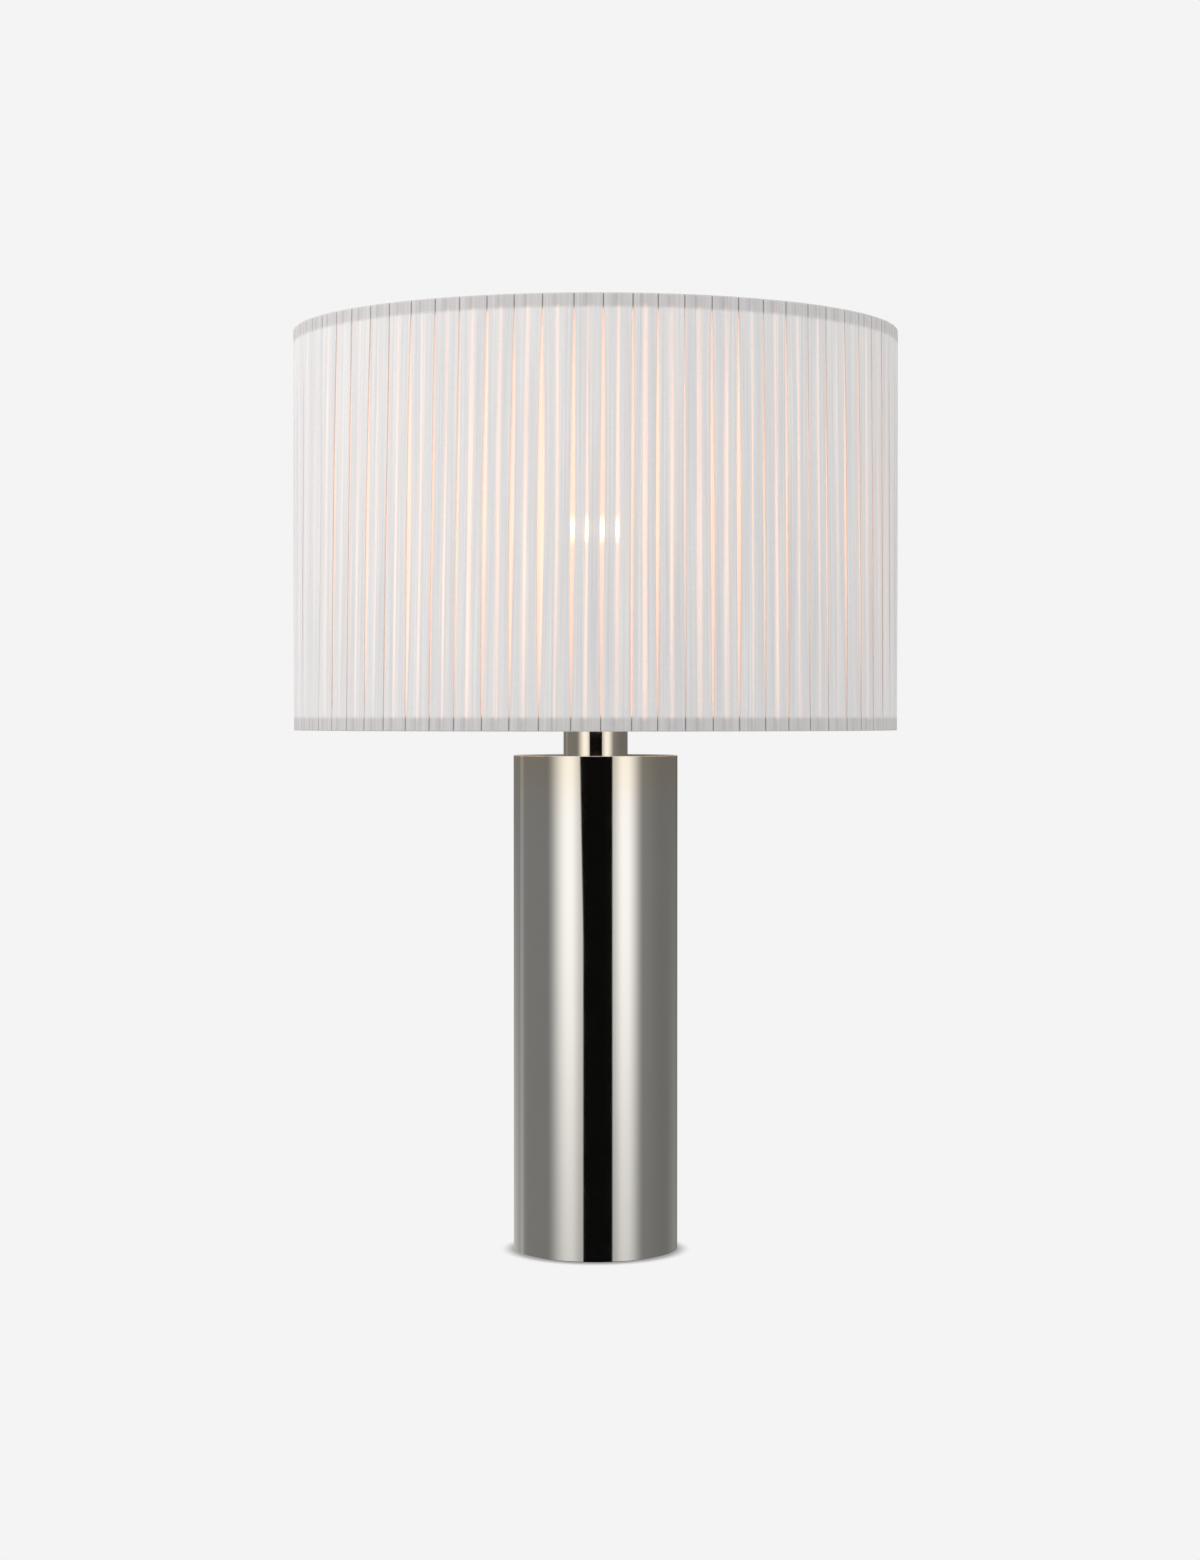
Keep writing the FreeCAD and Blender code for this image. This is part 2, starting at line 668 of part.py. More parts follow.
def make_terminal_screws():
    """A plain pan screw in each terminal pocket."""
    body = new_body("terminal_screws", several=True)
    for side in ("", "-"):
        shank_ends = (f"{side}(terminal_flat - terminal_length + edge)", f"{side}terminal_flat")
        shank = circle(new_sketch(body, "YZ_Plane", min(shank_ends, key=mm)), half("terminal_shank"),
                       up=TERMINAL_AXIS)
        extrude(body, shank, "terminal_length - edge")
        head_ends = (f"{side}terminal_flat", f"{side}(terminal_flat + terminal_head_height)")
        head = circle(new_sketch(body, "YZ_Plane", min(head_ends, key=mm)), half("terminal_head"),
                      up=TERMINAL_AXIS)
        body.Tip = extrude(body, head, "terminal_head_height")
    return body


def make_screw_shell():
    """Threaded shell that takes the bulb's cap, with a hole in its floor for the contact."""
    inner = "(screw_shell_bore / 2)"
    outer = f"({inner} + screw_shell_wall)"
    high = f"{HOLDER_TOP} - 2 * mouth_setback"
    return turned("screw_shell", [
        (half("screw_shell_hole"), BLOCK_TOP), (outer, BLOCK_TOP), (outer, high), (inner, high),
        (inner, f"{BLOCK_TOP} + screw_shell_wall"),
        (half("screw_shell_hole"), f"{BLOCK_TOP} + screw_shell_wall"),
    ])


def make_centre_contact():
    """Sprung brass tongue: a foot on the block and a raised pad under the bulb's tip."""
    body = new_body("centre_contact")
    pad = half("contact_width")
    low = f"{CONTACT_TOP} - contact_thickness"
    strip = outline(new_sketch(body, "XZ_Plane"), [
        (f"-{pad}", low), (f"{pad} - contact_thickness", low), (f"{pad} - contact_thickness", BLOCK_TOP),
        ("contact_foot", BLOCK_TOP), ("contact_foot", f"{BLOCK_TOP} + contact_thickness"),
        (pad, f"{BLOCK_TOP} + contact_thickness"), (pad, CONTACT_TOP), (f"-{pad}", CONTACT_TOP),
    ])
    body.Tip = extrude(body, strip, "contact_width", both=True)
    return body


# ---------------------------------------------------------------- turn switch
def make_switch_shaft():
    """Shaft from inside the block to the knob, towards the front."""
    body = new_body("switch_shaft")
    shaft = circle(new_sketch(body, "XZ_Plane", "block_diameter / 2 - switch_depth"),
                   half("switch_shaft_diameter"), up=SWITCH_AXIS)
    body.Tip = extrude(body, shaft, "switch_reach - (block_diameter / 2 - switch_depth)")
    return body


def make_switch_knob():
    """Ribbed knob pressed on the shaft's end."""
    body = new_body("switch_knob")
    near = "(switch_reach + knob_lead - knob_length)"
    core = "(knob_diameter / 2 - knob_rib / 2)"
    disc = circle(new_sketch(body, "XZ_Plane", near, SWITCH_AXIS), core)
    extrude(body, disc, "knob_length")
    bore = circle(new_sketch(body, "XZ_Plane", near, SWITCH_AXIS), "switch_shaft_diameter / 2 + weld_gap")
    extrude(body, bore, "knob_length - knob_lead", cut=True, back=True)
    rib = circle(new_sketch(body, "XZ_Plane", f"{near} + knob_lead", SWITCH_AXIS), "knob_rib", core)
    polar(body, [extrude(body, rib, "knob_length - knob_lead - edge")], "knob_ribs", (rib, ["N_Axis"]))
    return body


# ---------------------------------------------------------------- bulb
def sphere_foot(radius, centre, share):
    """Where a flank meets a sphere on the axis, a share of its radius below the centre."""
    return f"({radius} * sqrt(1 - pow({share}; 2)))", f"({centre} - {radius} * {share})"


def bulb_profile(shrink):
    """Half outline of the envelope, drawn in by shrink: neck, flank and crown."""
    radius = f"(bulb_diameter / 2 - {shrink})"
    neck = f"(bulb_neck_diameter / 2 - {shrink})"
    centre = f"({BULB} + bulb_length - bulb_diameter / 2)"
    flank = f"({BULB} + bulb_neck_level)"
    side, join = sphere_foot(radius, centre, "bulb_flank_share")
    return neck, flank, side, join, radius, centre


def make_bulb_glass():
    """Frosted envelope, open at the neck where the cap is cemented on."""
    neck, flank, side, join, radius, centre = bulb_profile("0")
    neck_in, flank_in, side_in, join_in, radius_in, centre_in = bulb_profile("bulb_wall")
    low = f"({BULB} + bulb_cap_height - cement_depth)"
    throat = "(bulb_cap_diameter / 2 - bulb_cap_wall - slip_fit)"
    rim = f"({BULB} + bulb_cap_height + edge)"
    return turned("bulb_glass", [
        (throat, low), (throat, rim), (neck, f"{rim} + 2 * edge"), (neck, flank), (side, join, radius),
        ("0", f"{centre} + {radius}"), ("0", f"{centre_in} + {radius_in}", f"-{radius_in}"),
        (side_in, join_in), (neck_in, flank_in), (neck_in, f"{rim} + 2 * edge"),
        (f"{throat} - bulb_wall", rim), (f"{throat} - bulb_wall", low),
    ])


def make_bulb_cap():
    """Screw cap of the bulb, closed below by a cone onto the insulator."""
    outer = "(bulb_cap_diameter / 2)"
    inner = f"({outer} - bulb_cap_wall)"
    seat = f"({BULB} + tip_height + insulator_height)"
    return turned("bulb_cap", [
        (f"{inner} - cap_ledge", seat), (f"{outer} - cap_cone", seat), (outer, f"{seat} + cap_cone"),
        (outer, f"{BULB} + bulb_cap_height"), (inner, f"{BULB} + bulb_cap_height"),
        (inner, f"{seat} + cap_cone + edge"), (f"{inner} - cap_cone", f"{seat} + bulb_cap_wall"),
        (f"{inner} - cap_ledge", f"{seat} + bulb_cap_wall"),
    ])


def make_bulb_insulator():
    """Dark glass ring between the cap and the tip contact."""
    low = f"({BULB} + tip_height)"
    return turned("bulb_insulator", [
        ("0", low), ("tip_diameter / 2 + edge", low),
        ("bulb_cap_diameter / 2 - bulb_cap_wall - cap_ledge", f"{low} + insulator_height"),
        ("0", f"{low} + insulator_height"),
    ])


def make_bulb_tip():
    """Solder contact at the bottom of the bulb."""
    return turned("bulb_tip", [
        ("0", BULB), ("tip_diameter / 2 - tip_height", BULB, "tip_height"),
        (half("tip_diameter"), f"{BULB} + tip_height"), ("0", f"{BULB} + tip_height"),
    ])


def make_bulb_stem():
    """Glass stem that carries the filament's supports."""
    low = f"({BULB} + tip_height + insulator_height)"
    flare = f"({BULB} + bulb_cap_height - cement_depth)"
    throat = "(bulb_cap_diameter / 2 - bulb_cap_wall - slip_fit - bulb_wall - slip_fit)"
    return turned("bulb_stem", [
        ("0", low), (half("stem_diameter"), low), (throat, flare), (throat, f"{flare} + bulb_wall"),
        (half("stem_diameter"), f"{BULB} + bulb_neck_level"),
        (half("stem_diameter"), f"{low} + stem_height - stem_diameter / 2", half("stem_diameter")),
        ("0", f"{low} + stem_height"),
    ])


def make_filament():
    """Two support wires up from the stem and the glowing wire across them."""
    body = new_body("filament")
    stem_top = f"({BULB} + tip_height + insulator_height + stem_height)"
    reach = "(filament_width / 2)"
    level = f"({BULB} + filament_level)"
    lean = f"atan(({reach} - filament_foot) / ({level} - {stem_top}))"
    turn_in = f"(filament_bend * tan((90 deg + {lean}) / 2))"
    leg_end, leg_top = f"({reach} - {turn_in} * sin({lean}))", f"({level} - {turn_in} * cos({lean}))"
    path = outline(new_sketch(body, "XZ_Plane"), [
        ("-filament_foot", stem_top), (f"-{leg_end}", leg_top, "-filament_bend"),
        (f"-({reach} - {turn_in})", level), (f"{reach} - {turn_in}", level, "-filament_bend"),
        (leg_end, leg_top), ("filament_foot", stem_top),
    ], closed=False)
    tube = body.newObject("PartDesign::AdditivePipe", "filament_pipe")
    tube.Profile = circle(new_sketch(body, "XY_Plane", stem_top), half("filament_wire"), "-filament_foot")
    tube.Spine = path
    body.Tip = tube
    return body


# ---------------------------------------------------------------- harp
def make_harp_wire():
    """Sprung bow: straight legs, a flared bow, an eye at the top and feet flattened inside."""
    body = new_body("harp_wire")
    foot, flare = SHOULDER, f"({SHOULDER} + harp_straight)"
    rise = mm(f"{HARP_TOP} - {flare} - harp_bow_radius")
    inward = mm("harp_leg - harp_flat")
    bow = mm("harp_bow_radius")
    first_radius = (rise * rise + inward * inward - bow * bow) / (2 * (bow - inward))
    lean = math.asin(rise / (first_radius + bow))
    leg, start, top = mm("harp_leg"), mm(flare), mm(HARP_TOP)
    path = new_sketch(body, "XZ_Plane")
    line = path.addGeometry(Part.LineSegment(Vector(leg, mm(foot), 0), Vector(leg, start, 0)), False)
    outward = Part.Circle(Vector(leg + first_radius, start, 0), Vector(0, 0, 1), first_radius)
    flare_arc = path.addGeometry(Part.ArcOfCircle(outward, math.pi - lean, math.pi), False)
    upper = Part.Circle(Vector(mm("harp_flat"), top - bow, 0), Vector(0, 0, 1), bow)
    bow_arc = path.addGeometry(Part.ArcOfCircle(upper, -lean, math.pi / 2), False)
    crown = path.addGeometry(Part.LineSegment(Vector(mm("harp_flat"), top, 0), Vector(0, top, 0)), False)
    pin_point(path, line, 1, ("harp_leg", foot))
    pin_point(path, line, 2, ("harp_leg", flare))
    pin_point(path, crown, 1, ("harp_flat", HARP_TOP))
    pin_point(path, crown, 2, ("0", HARP_TOP))
    fixed = path.addConstraint(Sketcher.Constraint("Radius", bow_arc, bow))
    path.setExpression(f"Constraints[{fixed}]", bound("harp_bow_radius"))
    path.addConstraint(Sketcher.Constraint("Tangent", flare_arc, 2, line, 2))
    path.addConstraint(Sketcher.Constraint("Tangent", bow_arc, 1, flare_arc, 1))
    path.addConstraint(Sketcher.Constraint("Tangent", crown, 1, bow_arc, 2))
    wire = body.newObject("PartDesign::AdditivePipe", "harp_wire_pipe")
    wire.Profile = circle(new_sketch(body, "XY_Plane", foot), half("harp_wire"), "harp_leg")
    wire.Spine = path
    doc.recompute()
    mirror = body.newObject("PartDesign::Mirrored", "harp_wire_mirror")
    mirror.Originals = [wire]
    mirror.MirrorPlane = (path, ["V_Axis"])
    body.Tip = mirror
    doc.recompute()
    eye = f"{EYE_TOP} - eye_thickness"
    turn(body, broken("0", eye, half("eye_diameter"), EYE_TOP, "2 * edge"))
    turn(body, box_corners("0", f"{eye} - cut_past", "stud_shank / 2 + slip_fit", f"{EYE_TOP} + cut_past"),
         groove=True)
    for side in ("", "-"):
        ends = sorted((f"{side}(harp_leg - harp_wire)", f"{side}({TONGUE_OUTSIDE} + slip_fit)"), key=mm)
        flat = outline(new_sketch(body, "XZ_Plane"), box_corners(
            ends[0], f"{SHOULDER} - cut_past", ends[1], f"{SHOULDER} + tongue_length + easy_gap"))
        body.Tip = extrude(body, flat, "2 * harp_wire", cut=True, both=True)
    body.Placement.Base = Vector(0, 0, mm("rest_gap / 2"))
    body.setExpression("Placement.Base.z", bound("rest_gap / 2"))
    return body


def make_ferrule(label, side):
    """Sleeve that drops over a leg of the harp and its tongue; it rests on the saddle's ear."""
    low = f"({SHOULDER} + rest_gap)"
    high = f"({low} + ferrule_length)"
    bore = half("ferrule_bore")
    outer = half("ferrule_diameter")
    body = turned(label, [
        (bore, low), (f"{outer} - edge", low), (outer, f"{low} + edge"), (outer, f"{high} - 2 * edge"),
        (f"{outer} - 2 * edge", high), (bore, high),
    ])
    body.setExpression("Placement.Base.x", bound(f"{side} * (harp_leg - ferrule_offset)"))
    return body


def make_harp_stud():
    """Swivel: a riveted shank in the eye, a seat for the shade and a threaded stud for the finial."""
    eye = f"{EYE_TOP} - eye_thickness"
    shank, thread = half("stud_shank"), half("stud_thread")
    rivet = f"{eye} - rest_gap"
    return turned("harp_stud", [
        ("0", f"{rivet} - rivet_thickness"), ("rivet_diameter / 2 - edge", f"{rivet} - rivet_thickness"),
        (half("rivet_diameter"), f"{rivet} - rivet_thickness + edge"), (half("rivet_diameter"), rivet),
        (shank, rivet), (shank, f"{EYE_TOP} + rest_gap"),
        ("seat_diameter / 2 - edge", f"{EYE_TOP} + rest_gap"),
        (half("seat_diameter"), f"{EYE_TOP} + rest_gap + edge"),
        (half("seat_diameter"), f"{STUD_SEAT} - edge"),
        ("seat_diameter / 2 - edge", STUD_SEAT), (thread, STUD_SEAT),
        (thread, f"{STUD_SEAT} + stud_length - 2 * edge"),
        (f"{thread} - 2 * edge", f"{STUD_SEAT} + stud_length"),
        ("0", f"{STUD_SEAT} + stud_length"),
    ])


# ---------------------------------------------------------------- shade
def make_pleated_cover():
    """Box pleats: one fold of cloth as a closed ribbon, repeated round the drum.

    Seen from above, each panel's two returns fold back under it and meet the next panel's on
    a back ply, so the cloth lies in three plies except at the slit and at the panel's middle.
    """
    body = new_body("pleated_cover")
    facet = "tan(180 / pleats)"
    outer, panel_in = PANEL, f"({PANEL} - cloth)"
    middle = f"({PANEL} - cloth - ply_gap)"
    middle_in = f"({middle} - cloth)"
    back = f"({middle_in} - ply_gap)"
    back_in = f"({back} - cloth)"
    fold = f"({PANEL} * {facet} - pleat_slit / 2)"
    turn_in = f"({fold} - pleat_return)"
    right = [
        (turn_in, back_in), (f"{back_in} * {facet}", back_in), (f"{back} * {facet}", back),
        (f"{turn_in} + cloth", back), (f"{turn_in} + cloth", middle_in), (fold, middle_in), (fold, outer),
    ]
    inside = [(f"{fold} - cloth", panel_in), (f"{fold} - cloth", middle), (turn_in, middle)]
    left = [(f"-({across})", up) for across, up in reversed(right)]
    inside_left = [(f"-({across})", up) for across, up in reversed(inside)]
    sketch = outline(new_sketch(body, "XY_Plane", SHADE_BOTTOM), right + left + inside_left + inside)
    polar(body, [extrude(body, sketch, "shade_height")], "pleats")
    return body


def make_shade_liner():
    """Translucent plastic sheet rolled into a drum inside the cover."""
    inset = "(lay_gap + hem_tape + lay_gap)"
    return turned("shade_liner", box_corners(
        LINER_INSIDE, f"{SHADE_BOTTOM} + {inset}", LINER_OUTSIDE, f"{SHADE_TOP} - {inset}"))


def make_ring(label, level):
    """Steel wire ring at one end of the drum."""
    ring = doc.addObject("Part::Torus", label)
    ring.Label = label
    ring.setExpression("Radius1", bound(RING_CENTRE))
    ring.setExpression("Radius2", bound(half("ring_wire")))
    ring.setExpression("Placement.Base.z", bound(level))
    return ring


def tape_outline(rim, towards):
    """Channel of tape over a rim: an outer leg, a bridge and an inner leg; towards is + or -."""
    away = "-" if towards == "+" else "+"
    edge = f"({rim} {away} lay_gap)"
    under = f"({edge} {away} hem_tape)"
    foot = f"({rim} {away} hem_height)"
    corners = [
        (TAPE_OUTSIDE, edge), (TAPE_OUTSIDE, foot), (f"{TAPE_OUTSIDE} - hem_tape", foot),
        (f"{TAPE_OUTSIDE} - hem_tape", under), (TAPE_INSIDE, under), (TAPE_INSIDE, foot),
        (f"{TAPE_INSIDE} - hem_tape", foot), (f"{TAPE_INSIDE} - hem_tape", edge),
    ]
    return corners if towards == "+" else corners[::-1]


def make_top_tape():
    """Binding tape over the top ring, notched where the spider's arms reach the wire."""
    body = turned("top_tape", tape_outline(SHADE_TOP, "+"))
    slot_half = "(arm_wire / 2 + easy_gap)"
    notch = outline(new_sketch(body, "XZ_Plane", f"-({TAPE_INSIDE} + weld_gap)"), box_corners(
        f"-{slot_half}", f"{SHADE_TOP} - hem_height - cut_past", slot_half, f"{TOP_RING} + {slot_half}"))
    polar(body, [extrude(body, notch, "4 * hem_tape", cut=True, back=True)], "arm_count")
    return body


def make_bottom_tape():
    """Binding tape under the bottom ring."""
    return turned("bottom_tape", tape_outline(SHADE_BOTTOM, "-"))


def make_spider_hub():
    """Washer that drops over the stud."""
    return turned("spider_hub", broken(half("spider_hub_bore"), HUB, half("spider_hub_diameter"), HUB_TOP))


def make_spider_arms():
    """Three wires from the hub to the top ring, each raised to the rim by two equal bends."""
    body = new_body("spider_arms", several=True)
    start = "(spider_hub_diameter / 2 + weld_gap)"
    end = f"({RING_INSIDE} - weld_gap)"
    knee = f"({end} - arm_foot - arm_bend)"
    bend = "((pow(arm_bend; 2) + pow(arm_rise; 2)) / (4 * arm_rise))"
    path = outline(new_sketch(body, "YZ_Plane"), [
        (start, ARM_LEVEL), (knee, ARM_LEVEL, bend),
        (f"{knee} + arm_bend / 2", f"{ARM_LEVEL} + arm_rise / 2", f"-{bend}"),
        (f"{end} - arm_foot", TOP_RING), (end, TOP_RING),
    ], closed=False)
    arm = body.newObject("PartDesign::AdditivePipe", "spider_arm_pipe")
    arm.Profile = circle(new_sketch(body, "XZ_Plane", f"-({start})"), half("arm_wire"), up=ARM_LEVEL)
    arm.Spine = path
    doc.recompute()
    polar(body, [arm], "arm_count")
    return body


def make_finial():
    """Turned nut on the stud that holds the shade down: a foot, a waist and a flattened ball."""
    low = f"({HUB_TOP} + rest_gap)"
    bore = "(stud_thread / 2 + slip_fit)"
    foot, waist, ball = half("finial_base"), half("finial_waist"), half("finial_ball")
    high = f"({low} + finial_height)"
    side, join = sphere_foot(f"({ball})", f"({high} - {ball})", "finial_neck_share")
    return turned("finial", [
        (bore, low), (f"{foot} - edge", low), (foot, f"{low} + edge"), (foot, f"{low} + 3 * edge"),
        (waist, f"{low} + 3 * edge"), (waist, f"{join} - edge"), (side, join, f"({ball})"),
        ("0", high), ("0", f"{low} + finial_bore_depth"), (bore, f"{low} + finial_bore_depth"),
    ])


SUBPARTS = [
    make_felt_pad(), make_base_plate(), make_base_screws(), make_base_weight(), make_retaining_ring(),
    make_column_tube(), make_cord_grommet(), make_column_lid(), make_lamp_pipe(), make_washer(),
    make_lock_nut(), make_jam_nut(), make_neck(), make_saddle(), make_holder_cap(), make_holder_shell(),
    make_holder_liner(), make_holder_block(), make_terminal_screws(), make_screw_shell(),
    make_centre_contact(), make_switch_shaft(), make_switch_knob(), make_bulb_glass(), make_bulb_cap(),
    make_bulb_insulator(), make_bulb_tip(), make_bulb_stem(), make_filament(), make_harp_wire(),
    make_ferrule("ferrule_left", "-1"), make_ferrule("ferrule_right", "1"), make_harp_stud(),
    make_pleated_cover(), make_shade_liner(), make_ring("top_ring", TOP_RING),
    make_ring("bottom_ring", BOTTOM_RING), make_top_tape(), make_bottom_tape(), make_spider_hub(),
    make_spider_arms(), make_finial(),
]

doc.recompute()
for item in doc.Objects:
    if any(word in item.State for word in ("Invalid", "Error")):
        raise RuntimeError(f"{item.Label} did not recompute")
for item in SUBPARTS:
    if item.Shape.isNull() or not item.Shape.isValid():
        raise RuntimeError(f"{item.Label} has no sound shape")
for item in SUBPARTS:
    item.Shape.exportStep(f"parts/{item.Label}.step")
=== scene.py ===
"""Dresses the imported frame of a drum-shade table lamp: folded cloth, metals, glass, light and camera.

Metres, +Z up, the table at z = 0, the lamp's axis on Z and its front towards -Y.
"""
import math

import bmesh
import bpy
import numpy as np
from bpy.props import FloatProperty, FloatVectorProperty, IntProperty, PointerProperty
from bpy.types import Operator, Panel, PropertyGroup
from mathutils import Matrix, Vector


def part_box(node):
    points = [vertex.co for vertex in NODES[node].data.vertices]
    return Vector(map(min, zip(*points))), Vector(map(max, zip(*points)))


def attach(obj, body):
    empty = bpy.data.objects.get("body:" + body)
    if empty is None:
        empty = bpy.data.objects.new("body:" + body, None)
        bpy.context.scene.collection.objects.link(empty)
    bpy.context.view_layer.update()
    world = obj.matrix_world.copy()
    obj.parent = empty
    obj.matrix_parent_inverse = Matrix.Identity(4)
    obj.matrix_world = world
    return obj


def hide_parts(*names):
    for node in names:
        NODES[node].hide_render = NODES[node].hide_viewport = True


bl_info = {
    "name": "Pleated Drum Lamp",
    "version": (1, 0, 0),
    "blender": (4, 5, 0),
    "location": "3D View > Sidebar > Lamp",
    "description": "Folds the cover, finishes the metals and lights a drum-shade table lamp",
    "category": "Object",
}

MM = 0.001
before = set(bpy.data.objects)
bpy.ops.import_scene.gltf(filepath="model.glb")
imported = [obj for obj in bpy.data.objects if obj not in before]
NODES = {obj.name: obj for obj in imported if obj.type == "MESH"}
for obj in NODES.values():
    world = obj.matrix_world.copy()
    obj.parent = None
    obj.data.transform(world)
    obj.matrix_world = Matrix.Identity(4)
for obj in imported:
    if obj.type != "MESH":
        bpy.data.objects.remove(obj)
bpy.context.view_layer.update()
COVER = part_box("pleated_cover")
TOP_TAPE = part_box("top_tape")
BOTTOM_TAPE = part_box("bottom_tape")
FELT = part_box("felt_pad")
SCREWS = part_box("base_screws")
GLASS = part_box("bulb_glass")
BULB_RADIUS = GLASS[1].x
BULB_LEVEL = GLASS[1].z - BULB_RADIUS

# The cover's hand folding. Slits are counted from the front towards the right, and gapes and the stripes
# in front are in millimetres.
FIRST_SLIT = math.radians(0.4)
SLIT_SCATTER = math.radians(0.12)
SLIT_WAVER = math.radians(0.035)
FRONT_SHIFT = math.radians(0.6)
TOP_SHIFT = math.radians(0.45)
FRONT_SLITS = [-3, -2, -1, 0, 1, 2, 3]
FRONT_GAPES = (3.3, 5.0, 3.4, 3.3, 2.4, 3.0, 1.7)
LEFT_SHOULDER = slice(-17, -11)
FRONT_STRIPES = (2.5, 2.8)
FOLD_LIP = 0.22 * MM
STRIPE_SCATTER = 0.35 * MM
STRIPE_WAVER = 0.05 * MM
PANEL_TILT = 0.28 * MM
PANEL_GROOVE = 0.12 * MM
RIM_ROW = 0.004

# The darker grey painted on the cloth in the trims, a painted shade for the bulb's light that the opaque binding
# keeps back, and what each face of a ply lets through.
TRIM_EDGE = (7.5 * MM, 9.5 * MM)
HEM = 0.9 * MM
TRIM_SHADE_TONE = (0.845, 0.83, 0.825)
PLY_PASSES = (0.39, 0.375, 0.36)
LINING_PASSES = (0.88, 0.83, 0.76)

TAPE_INSIDE = 196.75 * MM
SCREW_HEAD_RADIUS = 5.5 * MM
SUNK_RADIUS = 6.6 * MM
FILAMENT = (-1 * MM, 0, BULB_LEVEL - 5 * MM)


# ---------------------------------------------------------------- sizes and colours a user would change
def colour(name, description, default):
    """A colour with no alpha, from its three numbers."""
    return FloatVectorProperty(name=name, description=description, default=default, size=3, min=0, max=1,
                               subtype="COLOR")


def length(name, description, default):
    """A length in metres."""
    return FloatProperty(name=name, description=description, default=default, min=0, unit="LENGTH",
                         precision=5)


class LampShadeSettings(PropertyGroup):
    """The folded cover and the bindings of its rims."""

    pleats: IntProperty(name="Pleats", description="Box pleats round the drum", default=70, min=12)
    rows: IntProperty(name="Rows", description="Rows of points up the cloth", default=25, min=8)
    thread: length("Cloth", "Thickness of one ply", 0.25 * MM)
    ply_gap: length("Ply spacing", "From the middle of one ply to the next", 0.5 * MM)
    trim: length("Trim", "Height of the pressed band at each rim", 8.5 * MM)
    slit: length("Slit", "Usual opening between two pleats at mid height", 2.9 * MM)
    slit_end: length("Slit's end", "Usual opening where the slit meets the trim", 1.9 * MM)
    slit_closed: length("Closed slit", "Opening between two pleats in the trim", 0.8 * MM)
    stripe: length("Stripe", "Single ply left between the two returns under a panel", 2.6 * MM)
    lean: FloatProperty(name="Lean", description="How far the folds lean towards the front at the top",
                        default=math.radians(2), subtype="ANGLE")
    tape: length("Tape", "Thickness of the binding tape", 0.35 * MM)


class LampFinishSettings(PropertyGroup):
    """The colours of the lamp's finishes."""

    cloth: colour("Cloth", "Pleated cover by daylight", (0.925, 0.94, 0.962))
    glow: colour("Glow", "Cover with the light behind it", (0.95, 0.715, 0.55))
    lining: colour("Lining", "Smooth lining behind the cover", (0.72, 0.70, 0.66))
    tape: colour("Tape", "Binding at the rims", (0.70, 0.69, 0.68))
    nickel: colour("Nickel", "Polished and plated nickel", (0.80, 0.785, 0.76))
    steel: colour("Steel", "Zinc-plated steel", (0.55, 0.56, 0.58))
    brass: colour("Brass", "Bare brass", (0.72, 0.52, 0.22))
    felt: colour("Felt", "Felt under the foot", (0.035, 0.045, 0.04))
    enamel: colour("Enamel", "White enamel on the shade's wires", (0.80, 0.79, 0.76))


class LampLightSettings(PropertyGroup):
    """The bulb's light and the studio round the lamp."""

    bulb_power: FloatProperty(name="Bulb", description="Power of the bulb's light", default=1.55, min=0,
                              unit="POWER")
    bulb_colour: colour("Bulb colour", "Colour of the bulb's light", (1.0, 0.68, 0.42))
    ground: colour("Ground", "Background and floor", (0.904, 0.904, 0.904))
    sky: FloatProperty(name="Studio light", description="Strength of the even light", default=0.80, min=0)
    key: FloatProperty(name="Key light", description="Power of the wide lamp at the upper left", default=3.6,
                       min=0, unit="POWER")
    overhead: FloatProperty(name="Overhead", description="Power of the wide lamp above", default=2.8, min=0,
                            unit="POWER")
    box_strength: FloatProperty(name="Soft boxes", description="Strength of the boxes the metal shows",
                                default=1.0, min=0)
    floor: length("Floor", "Radius at which the floor has faded into the ground", 0.4)


# ---------------------------------------------------------------- meshes
def link(name, mesh):
    """An object for the mesh, in the scene."""
    made = bpy.data.objects.new(name, mesh)
    bpy.context.scene.collection.objects.link(made)
    return made


def surface(name, points, round_columns=True, cloth_map=None):
    """A mesh from a grid of points: the cell between two rows and two columns is one face.

    Columns that run anticlockwise and rows that run up face outwards. The last column joins the first
    where the grid runs all the way round. cloth_map holds a flat place in metres for each point, with one
    column more than the points, so that the pattern doesn't jump at the join.
    """
    rows, columns = points.shape[:2]
    index = np.arange(rows * columns).reshape(rows, columns)
    if round_columns:
        index = np.concatenate([index, index[:, :1]], axis=1)
    faces = np.stack([index[:-1, :-1], index[:-1, 1:], index[1:, 1:], index[1:, :-1]], axis=-1).reshape(-1, 4)
    mesh = bpy.data.meshes.new(name)
    mesh.vertices.add(rows * columns)
    mesh.vertices.foreach_set("co", points.astype(np.float32).ravel())
    mesh.loops.add(faces.size)
    mesh.loops.foreach_set("vertex_index", faces.astype(np.int32).ravel())
    mesh.polygons.add(len(faces))
    mesh.polygons.foreach_set("loop_start", np.arange(0, faces.size, 4, dtype=np.int32))
    mesh.polygons.foreach_set("use_smooth", np.ones(len(faces), dtype=bool))
    if cloth_map is not None:
        corners = np.stack([cloth_map[:-1, :-1], cloth_map[:-1, 1:], cloth_map[1:, 1:], cloth_map[1:, :-1]],
                           axis=-2)
        layer = mesh.uv_layers.new(name="cloth")
        layer.data.foreach_set("uv", corners.astype(np.float32).ravel())
    mesh.update(calc_edges=True)
    mesh.validate()
    return link(name, mesh)


